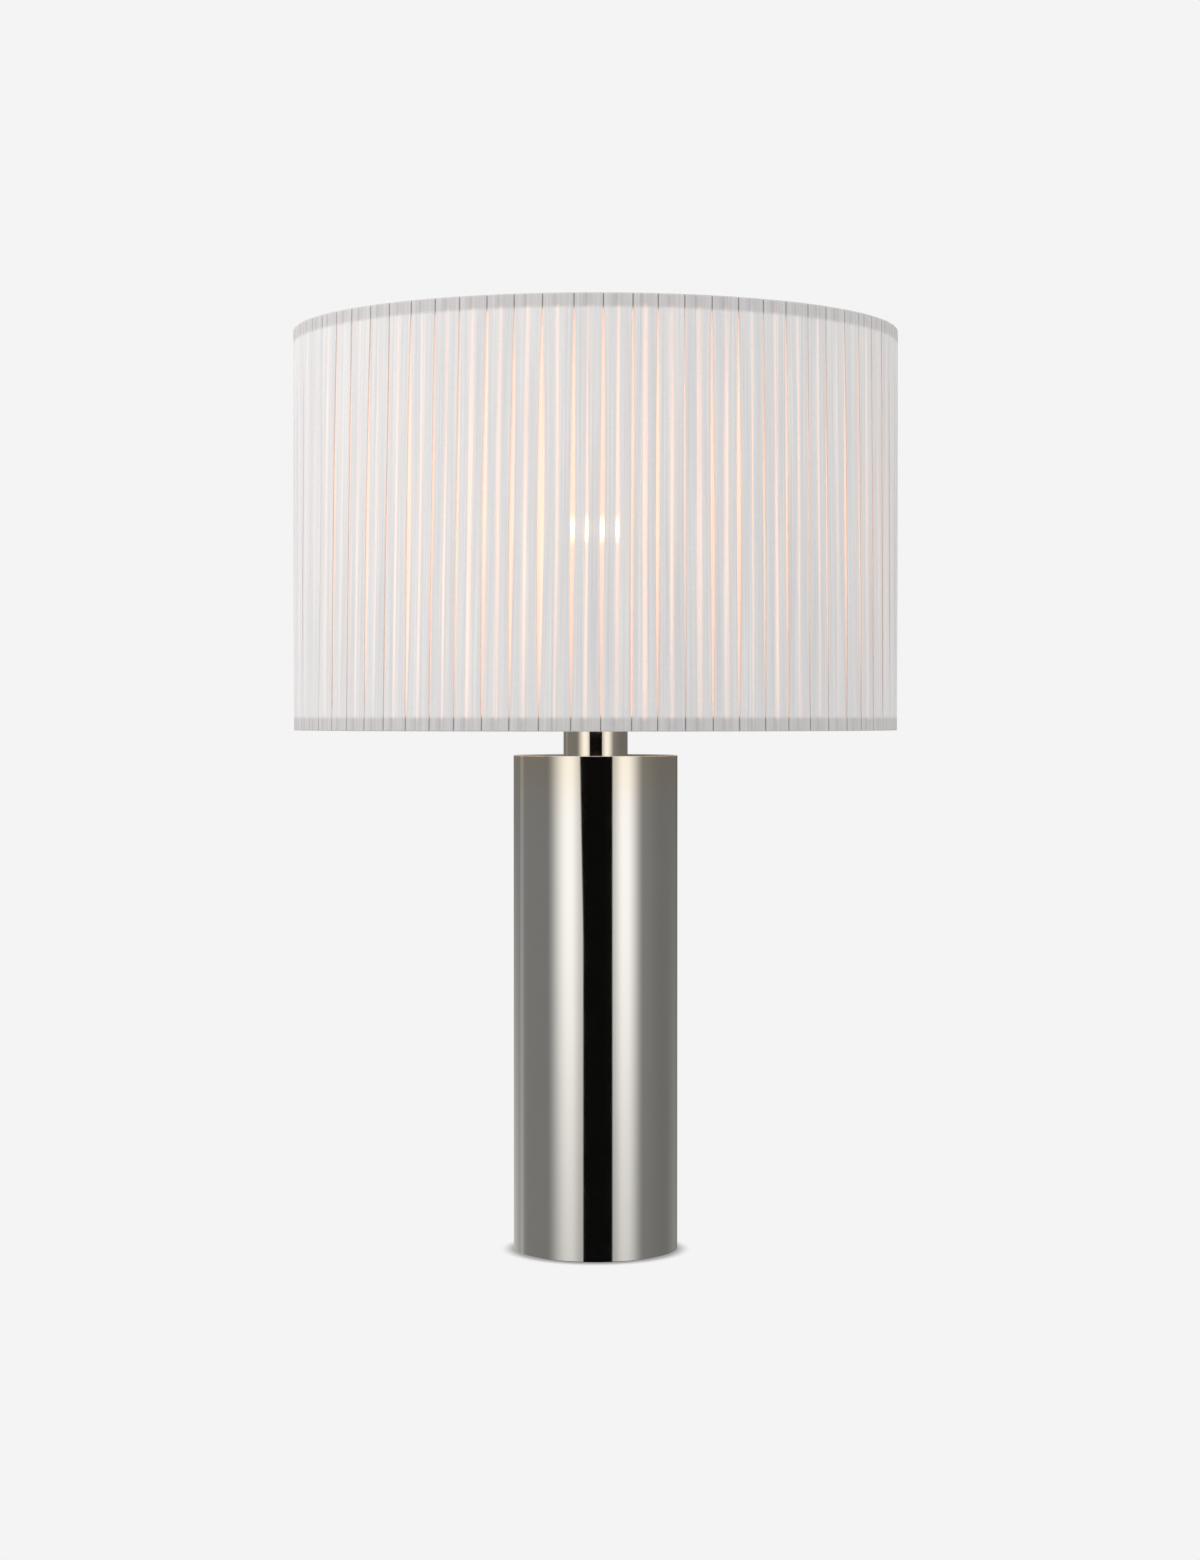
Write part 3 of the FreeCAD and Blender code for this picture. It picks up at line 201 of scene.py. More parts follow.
def turned(name, profile, segments):
    """A profile of (radius, height) carried round Z: x = r sin a, y = -r cos a, z = height."""
    profile = np.asarray(profile, dtype=float)
    angle = np.arange(segments) / segments * 2 * np.pi
    radius = profile[:, :1]
    points = np.stack([radius * np.sin(angle), -radius * np.cos(angle),
                       np.repeat(profile[:, 1:2], segments, axis=1)], axis=-1)
    return surface(name, points)


def tidy(made):
    """Closes seams and poles, and turns every face outwards."""
    shape = bmesh.new()
    shape.from_mesh(made.data)
    bmesh.ops.remove_doubles(shape, verts=shape.verts, dist=1e-6)
    bmesh.ops.dissolve_degenerate(shape, edges=shape.edges, dist=1e-7)
    bmesh.ops.recalc_face_normals(shape, faces=shape.faces)
    shape.to_mesh(made.data)
    shape.free()


def thicken(made, thickness):
    """Gives a sheet its wall, half to each side."""
    wall = made.modifiers.new("wall", "SOLIDIFY")
    wall.thickness = thickness
    wall.offset = 0
    wall.use_even_offset = False


def waver(rng, pleats, heights, size):
    """Three slow waves up the height with seeded phases, one row of the result for each pleat."""
    order = np.arange(1, 4)
    phase = rng.uniform(0, 2 * np.pi, (pleats, 3, 1))
    swing = rng.normal(0, 1, (pleats, 3, 1)) / order[None, :, None]
    return size * (swing * np.sin(order[None, :, None] * np.pi * heights[None, None, :] + phase)).sum(axis=1)


def fold_cover(settings):
    """The cover's points, their flat places, and which of them are behind a slit or on a fold.

    One closed ribbon of box pleats: each pleat runs along its panel on the outer circle, doubles back under
    it on the middle circle as far as the stripe, and crosses behind the slit on the inner circle to the next
    panel's return. A slit's middle leans with height and wavers. Its opening swells from its end to its
    gape by a half sine to the power 0.75 between the trims, and is nearly closed inside them. The slits in
    front of the bulb are the widest, and those past the left shoulder all but shut. A panel is a parabola
    across, tilted a little to one side.
    """
    rng = np.random.default_rng(11)
    pleats = settings.pleats
    low, high = COVER[0].z, COVER[1].z
    outer = COVER[1].x - settings.thread / 2 - 0.1 * MM
    middle = outer - settings.ply_gap
    inner = middle - settings.ply_gap
    share = np.linspace(0, 1, settings.rows - 6)
    trim = settings.trim / (high - low)
    pressed = [RIM_ROW, trim, trim + RIM_ROW, 1 - RIM_ROW - trim, 1 - trim, 1 - RIM_ROW]
    heights = np.unique(np.concatenate([share, pressed]))
    pitch = 2 * np.pi / pleats

    place = np.arange(pleats) * pitch + FIRST_SLIT
    middle_slit = (place + rng.normal(0, SLIT_SCATTER, pleats))[:, None]
    middle_slit[[-1, 0, 1]] += FRONT_SHIFT
    middle_slit = middle_slit + (TOP_SHIFT - settings.lean * np.sin(place))[:, None] * heights
    middle_slit = middle_slit + waver(rng, pleats, heights, SLIT_WAVER)

    gape = settings.slit * rng.uniform(0.55, 1.4, pleats)
    gape[FRONT_SLITS] = np.array(FRONT_GAPES) * MM
    gape[LEFT_SHOULDER] *= 0.45
    open_share = np.clip((heights - trim) / (1 - 2 * trim), 0, 1)
    end = (settings.slit_end * rng.uniform(0.5, 1.2, pleats))[:, None]
    end[LEFT_SHOULDER] *= 0.5
    opening = end + (gape[:, None] - end) * np.sin(np.pi * open_share) ** 0.75
    opening = np.where((open_share > 0) & (open_share < 1), opening, settings.slit_closed)
    half_slit = opening / 2 / outer

    left = np.roll(middle_slit + half_slit, 1, axis=0)
    left[0] -= 2 * np.pi
    right = middle_slit - half_slit
    stripe = settings.stripe * rng.uniform(0.5, 1.5, pleats)
    stripe[[0, 1]] = np.array(FRONT_STRIPES) * MM
    stripe = stripe[:, None] / outer / 2
    centre = (left + right) / 2 + rng.normal(0, STRIPE_SCATTER, pleats)[:, None] / outer
    stripe_left = centre - stripe + waver(rng, pleats, heights, STRIPE_WAVER) / outer
    stripe_right = centre + stripe + waver(rng, pleats, heights, STRIPE_WAVER) / outer
    next_left = np.roll(left, -1, axis=0)
    next_stripe = np.roll(stripe_left, -1, axis=0)
    next_left[-1] += 2 * np.pi
    next_stripe[-1] += 2 * np.pi
    lip = FOLD_LIP / outer

    panel = np.stack([left, left + lip, (left + stripe_left) / 2, stripe_left, (stripe_left + stripe_right) / 2,
                      stripe_right, (stripe_right + right) / 2, right - lip, right])
    across = (panel - left) / (right - left)
    crown = (0.15 + rng.uniform(0, 0.45, pleats)[:, None] * np.sin(np.pi * open_share)) * MM
    tilt = rng.normal(0, PANEL_TILT, pleats)[:, None] * np.sin(np.pi * open_share)
    bulge = crown * 4 * across * (1 - across) + tilt * (across - 0.5)
    bulge[4] -= PANEL_GROOVE
    behind = np.linspace(0, 1, 5)[:, None, None]

    ones = np.ones_like(left)
    angle = np.concatenate([
        panel,
        (right + lip)[None], right[None], stripe_right[None], (stripe_right - lip)[None],
        stripe_right + (next_stripe - stripe_right) * behind,
        (next_stripe + lip)[None], next_stripe[None], next_left[None], (next_left - lip)[None],
    ])
    radius = np.concatenate([
        outer + bulge - crown * 0.3,
        (ones * (outer + middle) / 2)[None], (ones * middle)[None], (ones * middle)[None],
        (ones * (middle + inner) / 2)[None],
        ones * inner + 0.12 * MM * 4 * behind * (1 - behind),
        (ones * (middle + inner) / 2)[None], (ones * middle)[None], (ones * middle)[None],
        (ones * (outer + middle) / 2)[None],
    ])
    angle = angle.transpose(2, 1, 0).reshape(len(heights), -1)
    radius = radius.transpose(2, 1, 0).reshape(len(heights), -1)
    level = low + (high - low) * heights
    points = np.stack([radius * np.sin(angle), -radius * np.cos(angle),
                       np.repeat(level[:, None], angle.shape[1], axis=1)], axis=-1)
    steps = np.linalg.norm(np.roll(points, -1, axis=1) - points, axis=-1).mean(axis=0)
    along = np.concatenate([[0], np.cumsum(steps)])
    flat = np.stack([np.repeat(along[None], len(heights), axis=0),
                     np.repeat(level[:, None], len(along), axis=1)], axis=-1)
    back_ply = np.repeat([0.0, 1.0, 0.0], [len(panel) + 3, len(behind) + 2, 3])
    # crease marks the fold points, which the cloth darkens as painted shade and lets less light through; the stripe's
    # edges get weaker marks, for fainter painted shade lines in the trims.
    crease = np.zeros(len(back_ply))
    crease[[0, len(panel) - 1, len(panel), -1]] = 1.0
    crease[3] = 0.45
    crease[5] = 0.2
    everywhere = (len(heights), pleats)
    return points, flat, np.tile(back_ply, everywhere), np.tile(crease, everywhere)


# ---------------------------------------------------------------- materials
def empty_material(name):
    """A material with nothing but its output."""
    made = bpy.data.materials.new(name)
    made.use_nodes = True
    made.node_tree.nodes.clear()
    made.node_tree.nodes.new("ShaderNodeOutputMaterial")
    return made


def add(tree, kind, sockets=None, **fields):
    """A node with its fields set and its sockets filled with numbers or links."""
    node = tree.nodes.new(kind)
    for field, value in fields.items():
        setattr(node, field, value)
    for socket, value in (sockets or {}).items():
        if isinstance(value, bpy.types.NodeSocket):
            tree.links.new(value, node.inputs[socket])
        else:
            node.inputs[socket].default_value = value
    return node


def close(material, shader):
    """Links the shader to the material's output."""
    tree = material.node_tree
    tree.links.new(shader, tree.nodes["Material Output"].inputs["Surface"])
    return material


def calc(tree, operation, *numbers, clamp=False):
    """One Math node's result."""
    return add(tree, "ShaderNodeMath", dict(enumerate(numbers)), operation=operation, use_clamp=clamp).outputs[0]


def ramp(tree, value, low, high, start=0.0, end=1.0, smooth=False):
    """A value from low to high carried over to start to end, and held outside."""
    return add(tree, "ShaderNodeMapRange", {
        "Value": value, "From Min": low, "From Max": high, "To Min": start, "To Max": end,
    }, interpolation_type="SMOOTHSTEP" if smooth else "LINEAR").outputs[0]


def object_place(tree, scale=(1, 1, 1)):
    """The place on the piece in metres, stretched by the scale."""
    place = add(tree, "ShaderNodeTexCoord").outputs["Object"]
    return add(tree, "ShaderNodeMapping", {"Vector": place, "Scale": scale}).outputs[0]


def noise(tree, place, scale, detail=3.0, roughness=0.5):
    """Fractal noise about 0.5."""
    return add(tree, "ShaderNodeTexNoise", {
        "Vector": place, "Scale": scale, "Detail": detail, "Roughness": roughness,
    }).outputs["Fac"]


def tinted(tree, value, low, high):
    """A colour between two, by the value."""
    return add(tree, "ShaderNodeMix", {"Factor": value, 6: (*low, 1), 7: (*high, 1)},
               data_type="RGBA").outputs[2]


def shade(rgb, factor):
    """The colour made darker or lighter."""
    return tuple(min(1.0, part * factor) for part in rgb)


def bump(tree, height, distance, strength=1.0):
    """A normal from a height."""
    return add(tree, "ShaderNodeBump", {"Height": height, "Distance": distance, "Strength": strength}
               ).outputs[0]


def solid(name, rgb, spread=0.12, grain=300, stretch=(1, 1, 1), rough=(0.4, 0.6), depth=0.0, **sockets):
    """An opaque finish: noise mixes two tones, moves the roughness and raises the surface."""
    made = empty_material(name)
    tree = made.node_tree
    value = noise(tree, object_place(tree, stretch), grain)
    even = ramp(tree, value, 0.3, 0.7)
    inputs = {
        "Base Color": tinted(tree, even, shade(rgb, 1 - spread), shade(rgb, 1 + spread)),
        "Roughness": ramp(tree, value, 0.3, 0.7, *rough),
    }
    if depth:
        inputs["Normal"] = bump(tree, value, depth)
    inputs.update(sockets)
    return close(made, add(tree, "ShaderNodeBsdfPrincipled", inputs).outputs[0])


def polished_nickel(finish):
    """Mirror polish: a clear metal whose fine buffing runs round the lamp, with a little haze."""
    made = empty_material("polished_nickel")
    tree = made.node_tree
    haze = noise(tree, object_place(tree), 38, 2)
    buffing = noise(tree, object_place(tree, (25, 25, 900)), 1, 2)
    rgb = tuple(finish.nickel)
    return close(made, add(tree, "ShaderNodeBsdfPrincipled", {
        "Base Color": tinted(tree, haze, shade(rgb, 0.985), shade(rgb, 1.015)),
        "Metallic": 1.0,
        "Roughness": ramp(tree, haze, 0.3, 0.7, 0.05, 0.075),
        "Normal": bump(tree, buffing, 0.000002, 0.5),
    }).outputs[0])


def light_shares(tree):
    """Light Path's outputs."""
    return add(tree, "ShaderNodeLightPath").outputs


def cloth(name, finish):
    """Cloth lit from both sides: daylight scattered back, the bulb's light scattered through.

    Slubs are noise drawn out along the two threads. The ply behind a slit lets more light through, and a
    fold less. In the trims the cloth is painted a darker grey, a painted shade for the light that the opaque
    binding keeps back, with a painted shadow line at each slit and fainter ones at the folds; in the field
    each fold edge carries a faint painted shade. Shadow rays keep a share of the light at each face, so one
    ply glows and three together don't. A very small clear share lets the bulb's core show as a soft spot.
    """
    made = empty_material(name)
    tree = made.node_tree
    flat = add(tree, "ShaderNodeUVMap", uv_map="cloth").outputs[0]
    weft, warp, cloud = (
        noise(tree, add(tree, "ShaderNodeMapping", {"Vector": flat, "Scale": (round_drum, upwards, 1)}).outputs[0],
              1, 2)
        for round_drum, upwards in ((140, 2300), (850, 6), (75, 6)))
    thread = calc(tree, "ADD", calc(tree, "MULTIPLY", weft, 0.2), calc(tree, "MULTIPLY", warp, 0.8))
    tone = calc(tree, "ADD", calc(tree, "MULTIPLY", thread, 0.8), calc(tree, "MULTIPLY", cloud, 0.2))
    level = add(tree, "ShaderNodeSeparateXYZ",
                {0: add(tree, "ShaderNodeTexCoord").outputs["Object"]}).outputs["Z"]
    low, high = COVER[0].z, COVER[1].z
    above = ramp(tree, level, low + TRIM_EDGE[0], low + TRIM_EDGE[1])
    below = ramp(tree, level, high - TRIM_EDGE[1], high - TRIM_EDGE[0], 1.0, 0.0)
    field = calc(tree, "MULTIPLY", above, below)
    rgb = tuple(finish.cloth)
    day = tinted(tree, ramp(tree, tone, 0.35, 0.65), shade(rgb, 0.89), shade(rgb, 1.06))
    ply = add(tree, "ShaderNodeAttribute", attribute_name="back_ply").outputs["Fac"]
    crease = add(tree, "ShaderNodeAttribute", attribute_name="crease").outputs["Fac"]
    # Painted shadow: a dark line behind each slit and fainter ones at the folds in the trims, fading out just short
    # of the cut edge.
    hem = calc(tree, "MULTIPLY", ramp(tree, level, low, low + HEM), ramp(tree, level, high - HEM, high, 1.0, 0.0))
    painted_slit_shadow = calc(tree, "MULTIPLY", calc(tree, "MAXIMUM", ply, calc(tree, "MULTIPLY", crease, 0.45)), hem)
    # The trims are painted a darker grey as painted shade, with the painted slit shadow laid over it.
    pressed = tinted(tree, painted_slit_shadow, TRIM_SHADE_TONE, shade(TRIM_SHADE_TONE, 0.22))
    # Painted shade: each fold edge in the field is made a little darker.
    folded = tinted(tree, crease, (1, 1, 1), (0.98, 0.98, 0.985))
    rim = add(tree, "ShaderNodeMix", {"Factor": field, 6: pressed, 7: folded}, data_type="RGBA").outputs[2]
    day = add(tree, "ShaderNodeMix", {"Factor": 1.0, 6: day, 7: rim}, data_type="RGBA",
              blend_type="MULTIPLY").outputs[2]
    warm = tuple(finish.glow)
    glow = tinted(tree, ramp(tree, tone, 0.3, 0.7), shade(warm, 0.88), shade(warm, 1.1))
    normal = bump(tree, thread, 0.00006, 0.6)
    back = add(tree, "ShaderNodeBsdfDiffuse", {"Color": day, "Roughness": 0.3, "Normal": normal}).outputs[0]
    through = add(tree, "ShaderNodeBsdfTranslucent", {"Color": glow}).outputs[0]
    clear = add(tree, "ShaderNodeBsdfRefraction", {"Color": (1, 0.93, 0.85, 1), "Roughness": 0.35, "IOR": 1.15}
                ).outputs[0]
    share = calc(tree, "SUBTRACT", ramp(tree, ply, 0, 1, 0.2, 0.27), calc(tree, "MULTIPLY", crease, 0.06))
    weave = add(tree, "ShaderNodeMixShader", {0: share, 1: back, 2: through}).outputs[0]
    weave = add(tree, "ShaderNodeMixShader", {0: 0.014, 1: weave, 2: clear}).outputs[0]
    passed = add(tree, "ShaderNodeBsdfTransparent", {"Color": (*PLY_PASSES, 1)}).outputs[0]
    whole = add(tree, "ShaderNodeMixShader", {
        0: light_shares(tree)["Is Shadow Ray"], 1: weave, 2: passed,
    }).outputs[0]
    return close(made, whole)


def lining(finish):
    """Smooth laminated lining: pale, and lets most of the bulb's light out evenly."""
    made = empty_material("shade_lining")
    tree = made.node_tree
    fibre = noise(tree, object_place(tree, (1, 1, 0.4)), 420, 3)
    rgb = tuple(finish.lining)
    tone = tinted(tree, ramp(tree, fibre, 0.3, 0.7), shade(rgb, 0.96), shade(rgb, 1.04))
    back = add(tree, "ShaderNodeBsdfDiffuse", {"Color": tone}).outputs[0]
    through = add(tree, "ShaderNodeBsdfTranslucent", {"Color": (0.9, 0.76, 0.64, 1)}).outputs[0]
    sheet = add(tree, "ShaderNodeMixShader", {0: 0.35, 1: back, 2: through}).outputs[0]
    passed = add(tree, "ShaderNodeBsdfTransparent", {"Color": (*LINING_PASSES, 1)}).outputs[0]
    return close(made, add(tree, "ShaderNodeMixShader", {
        0: light_shares(tree)["Is Shadow Ray"], 1: sheet, 2: passed,
    }).outputs[0])


def frosted_glass():
    """Frosted bulb: brightest in front of the filament, and dimmer towards the neck and rim."""
    made = empty_material("frosted_glass")
    tree = made.node_tree
    place = add(tree, "ShaderNodeTexCoord").outputs["Object"]
    offset = add(tree, "ShaderNodeVectorMath", {0: place, 1: (0, 0, BULB_LEVEL)}, operation="SUBTRACT").outputs[0]
    upright = add(tree, "ShaderNodeSeparateXYZ", {0: offset}).outputs["Z"]
    core = ramp(tree, calc(tree, "ABSOLUTE", upright), 0.0, 0.9 * BULB_RADIUS, 1.0, 0.0, smooth=True)
    frost = noise(tree, object_place(tree), 900, 2)
    strength = calc(tree, "MULTIPLY_ADD", core, 4.0, 0.9)
    made.cycles.emission_sampling = "NONE"
    return close(made, add(tree, "ShaderNodeBsdfPrincipled", {
        "Base Color": tinted(tree, frost, (0.86, 0.85, 0.82), (0.94, 0.93, 0.9)),
        "Roughness": ramp(tree, frost, 0.3, 0.7, 0.5, 0.7),
        "Emission Color": tinted(tree, core, (1.0, 0.62, 0.3), (1.0, 0.86, 0.62)),
        "Emission Strength": strength,
    }).outputs[0])


def glowing_wire():
    """Tungsten at white heat, with its turns as bright and dark bands."""
    made = empty_material("glowing_wire")
    tree = made.node_tree
    turns = noise(tree, object_place(tree, (4000, 200, 200)), 1, 1)
    made.cycles.emission_sampling = "NONE"
    return close(made, add(tree, "ShaderNodeBsdfPrincipled", {
        "Base Color": (0.4, 0.38, 0.36, 1), "Metallic": 1.0, "Roughness": 0.4,
        "Emission Color": (1.0, 0.72, 0.38, 1), "Emission Strength": ramp(tree, turns, 0.3, 0.7, 12, 30),
    }).outputs[0])


def clear_glass():
    """Clear pressed glass of the bulb's stem."""
    made = empty_material("clear_glass")
    tree = made.node_tree
    seeds = noise(tree, object_place(tree), 500, 2)
    return close(made, add(tree, "ShaderNodeBsdfPrincipled", {
        "Base Color": tinted(tree, seeds, (0.95, 0.97, 0.96), (1, 1, 1)), "Roughness": 0.03, "IOR": 1.5,
        "Transmission Weight": 1.0,
    }).outputs[0])


def node_finishes(finish):
    """One material for each of the record's slots that a CAD node carries."""
    nickel = tuple(finish.nickel)
    return {
        "polished_nickel": polished_nickel(finish),
        "nickel_plate": solid("nickel_plate", nickel, 0.04, 120, rough=(0.16, 0.26), depth=0.000004,
                              Metallic=1.0),
        "plated_steel": solid("plated_steel", tuple(finish.steel), 0.14, 260, rough=(0.3, 0.5), depth=0.00001,
                              Metallic=1.0),
        "cast_iron": solid("cast_iron", (0.07, 0.068, 0.066), 0.3, 240, rough=(0.6, 0.85), depth=0.0002,
                           Metallic=0.3),
        "grommet_rubber": solid("grommet_rubber", (0.02, 0.02, 0.021), 0.25, 600, rough=(0.5, 0.7),
                                depth=0.00003),
        "insulating_paper": solid("insulating_paper", (0.52, 0.40, 0.24), 0.15, 500, (1, 1, 0.3),
                                  rough=(0.7, 0.9), depth=0.00004),
        "phenolic": solid("phenolic", (0.018, 0.016, 0.015), 0.3, 150, rough=(0.18, 0.32)),
        "brass": solid("brass", tuple(finish.brass), 0.12, 180, rough=(0.2, 0.4), depth=0.000006, Metallic=1.0),
        "frosted_glass": frosted_glass(),
        "bulb_aluminium": solid("bulb_aluminium", (0.72, 0.72, 0.73), 0.06, 200, rough=(0.25, 0.4),
                                depth=0.000006, Metallic=1.0),
        "black_glass": solid("black_glass", (0.012, 0.012, 0.016), 0.3, 300, rough=(0.05, 0.15)),
        "solder": solid("solder", (0.55, 0.55, 0.56), 0.1, 500, rough=(0.25, 0.45), depth=0.00004,
                        Metallic=1.0),
        "clear_glass": clear_glass(),
        "glowing_wire": glowing_wire(),
        "shade_lining": lining(finish),
        "white_wire": solid("white_wire", tuple(finish.enamel), 0.03, 200, rough=(0.25, 0.4), depth=0.00001,
                            **{"Coat Weight": 0.3, "Coat Roughness": 0.1}),
        "binding_tape": solid("binding_tape", tuple(finish.tape), 0.06, 700, (1, 1, 0.3), rough=(0.7, 0.9),
                              depth=0.00006),
        "felt": felt(finish),
    }


def felt(finish):
    """Matted wool: short fibres as noise on two scales, with a soft sheen."""
    made = empty_material("felt")
    tree = made.node_tree
    fibre = noise(tree, object_place(tree), 1400, 4, 0.7)
    rgb = tuple(finish.felt)
    return close(made, add(tree, "ShaderNodeBsdfPrincipled", {
        "Base Color": tinted(tree, fibre, shade(rgb, 0.6), shade(rgb, 1.5)), "Roughness": 0.95,
        "Sheen Weight": 0.4, "Sheen Roughness": 0.6, "Normal": bump(tree, fibre, 0.0004),
    }).outputs[0])


# ---------------------------------------------------------------- the pieces
class LAMP_OT_cover(Operator):
    """Folds the box-pleated cover round the drum"""

    bl_idname = "lamp.cover"
    bl_label = "Pleated cover"

    def execute(self, context):
        settings = context.scene.lamp_shade
        points, flat, back_ply, crease = fold_cover(settings)
        made = surface("folded_cover", points, cloth_map=flat)
        for name, values in (("back_ply", back_ply), ("crease", crease)):
            marks = made.data.attributes.new(name, "FLOAT", "POINT")
            marks.data.foreach_set("value", values.astype(np.float32).ravel())
        thicken(made, settings.thread)
        made.data.materials.append(cloth("pleated_cloth", context.scene.lamp_finish))
        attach(made, "shade")
        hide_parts("pleated_cover")
        return {"FINISHED"}


class LAMP_OT_tapes(Operator):
    """Wraps the binding tape over both rims"""

    bl_idname = "lamp.tapes"
    bl_label = "Rim tapes"

    def wrap(self, name, node, box, upward, settings, material):
        """Two legs joined by a half circle over the rim's wire, carried round Z.

        The pucker is two small waves round the rim, of 83 and 29 turns, outwards on the outer leg and inwards
        on the inner one.
        """
        way = 1 if upward else -1
        edge = box[1].z if upward else box[0].z
        foot = box[0].z if upward else box[1].z
        outer = box[1].x - settings.tape / 2
        inner = TAPE_INSIDE
        bend = (outer - inner) / 2
        turn = edge - bend * way - settings.tape / 2 * way
        arc = np.linspace(0, np.pi, 11)
        legs = np.linspace(foot, turn, 5)[:-1]
        radius = np.concatenate([np.full(4, inner), (inner + outer) / 2 - bend * np.cos(arc), np.full(4, outer)])
        level = np.concatenate([legs, turn + bend * np.sin(arc) * way, legs[::-1]])
        segments = 360
        angle = np.arange(segments) / segments * 2 * np.pi
        pucker = 0.05 * MM * np.sin(angle * 83) + 0.04 * MM * np.sin(angle * 29 + 1.3)
        reach = radius[:, None] + pucker * np.linspace(1, -1, len(radius))[:, None]
        points = np.stack([reach * np.sin(angle), -reach * np.cos(angle),
                           np.repeat(level[:, None], segments, axis=1)], axis=-1)
        made = surface(name, points)
        tidy(made)
        thicken(made, settings.tape)
        made.data.materials.append(material)
        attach(made, "shade")
        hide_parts(node)

    def execute(self, context):
        settings = context.scene.lamp_shade
        material = solid("binding_tape_cloth", tuple(context.scene.lamp_finish.tape), 0.06, 700, (1, 1, 0.3),
                         rough=(0.7, 0.9), depth=0.00006)
        self.wrap("bound_top", "top_tape", TOP_TAPE, True, settings, material)
        self.wrap("bound_bottom", "bottom_tape", BOTTOM_TAPE, False, settings, material)
        return {"FINISHED"}


class LAMP_OT_felt(Operator):
    """Lays the felt disc under the foot"""

    bl_idname = "lamp.felt"
    bl_label = "Felt pad"

    def execute(self, context):
        """A flat disc with rounded rims, whose upper face sinks over the three screw heads."""
        radius, low, high = FELT[1].x, FELT[0].z, FELT[1].z
        reach = np.linspace(0, radius - 0.6 * MM, 34)
        rim = np.linspace(0, np.pi / 2, 4)
        lower = np.stack([reach, np.full(len(reach), low)], axis=1)
        round_low = np.stack([radius - 0.5 * MM + 0.5 * MM * np.sin(rim), low + 0.5 * MM * (1 - np.cos(rim))], axis=1)
        round_high = np.stack([round_low[::-1, 0], low + high - round_low[::-1, 1]], axis=1)
        upper = np.stack([reach[::-1], np.full(len(reach), high)], axis=1)
        profile = np.concatenate([lower, round_low, round_high, upper])
        segments = 216
        angle = np.arange(segments) / segments * 2 * np.pi
        fray = 1 + 0.0015 * np.sin(angle * 17) + 0.001 * np.sin(angle * 41 + 0.7)
        across = profile[:, :1] * np.minimum(fray, 1)
        x, y = across * np.sin(angle), -across * np.cos(angle)
        screw = SCREWS[1].x - SCREW_HEAD_RADIUS
        spots = np.radians([0, 120, 240])
        near = np.min([np.hypot(x - screw * np.cos(spot), y - screw * np.sin(spot)) for spot in spots], axis=0)
        sunk = np.clip((SUNK_RADIUS - near) / (0.6 * MM), 0, 1) * (high - SCREWS[0].z + 0.2 * MM)
        level = np.repeat(profile[:, 1:2], segments, axis=1)
        level = np.where(level > high - 0.1 * MM, level - sunk, level)
        made = surface("felt_disc", np.stack([x, y, level], axis=-1))
        tidy(made)
        made.data.materials.append(felt(context.scene.lamp_finish))
        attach(made, "base")
        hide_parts("felt_pad")
        return {"FINISHED"}


class LAMP_OT_finishes(Operator):
    """Gives every carried-over part the finish of its slot"""

    bl_idname = "lamp.finishes"
    bl_label = "Finishes"

    def execute(self, context):
        finishes = node_finishes(context.scene.lamp_finish)
        for node in NODES.values():
            for part in node.material_slots:
                slot = part.material.name.split(".")[0]
                if slot in finishes:
                    part.material = finishes[slot]
        for name in ("bulb_glass", "bulb_stem", "filament"):
            NODES[name].visible_shadow = False
            NODES[name].visible_diffuse = False
        return {"FINISHED"}


# ---------------------------------------------------------------- the studio
def ground_material(settings):
    """Matt floor that turns clear further out, where the world's ground shows.

    The camera sees the ground's own colour with a painted contact shadow: ambient occlusion darkens it where the foot
    stands close over it.
    """
    made = empty_material("studio_floor")
    tree = made.node_tree
    place = add(tree, "ShaderNodeTexCoord").outputs["Object"]
    away = add(tree, "ShaderNodeVectorMath", {0: place}, operation="LENGTH").outputs["Value"]
    fade = ramp(tree, away, 0.07, settings.floor, smooth=True)
    matt = add(tree, "ShaderNodeBsdfDiffuse", {"Color": (*settings.ground, 1)}).outputs[0]
    # Painted contact shadow: ambient occlusion darkens the ground's colour that the camera sees near the foot.
    open_sky = add(tree, "ShaderNodeAmbientOcclusion", {"Distance": 0.01}, samples=16).outputs["AO"]
    painted_contact_shadow = tinted(tree, ramp(tree, open_sky, 0.5, 0.97), shade(settings.ground, 0.42), settings.ground)
    plain = add(tree, "ShaderNodeEmission", {"Color": painted_contact_shadow}).outputs[0]
    matt = add(tree, "ShaderNodeMixShader", {0: light_shares(tree)["Is Camera Ray"], 1: matt, 2: plain}).outputs[0]
    clear = add(tree, "ShaderNodeBsdfTransparent").outputs[0]
    return close(made, add(tree, "ShaderNodeMixShader", {0: fade, 1: matt, 2: clear}).outputs[0])


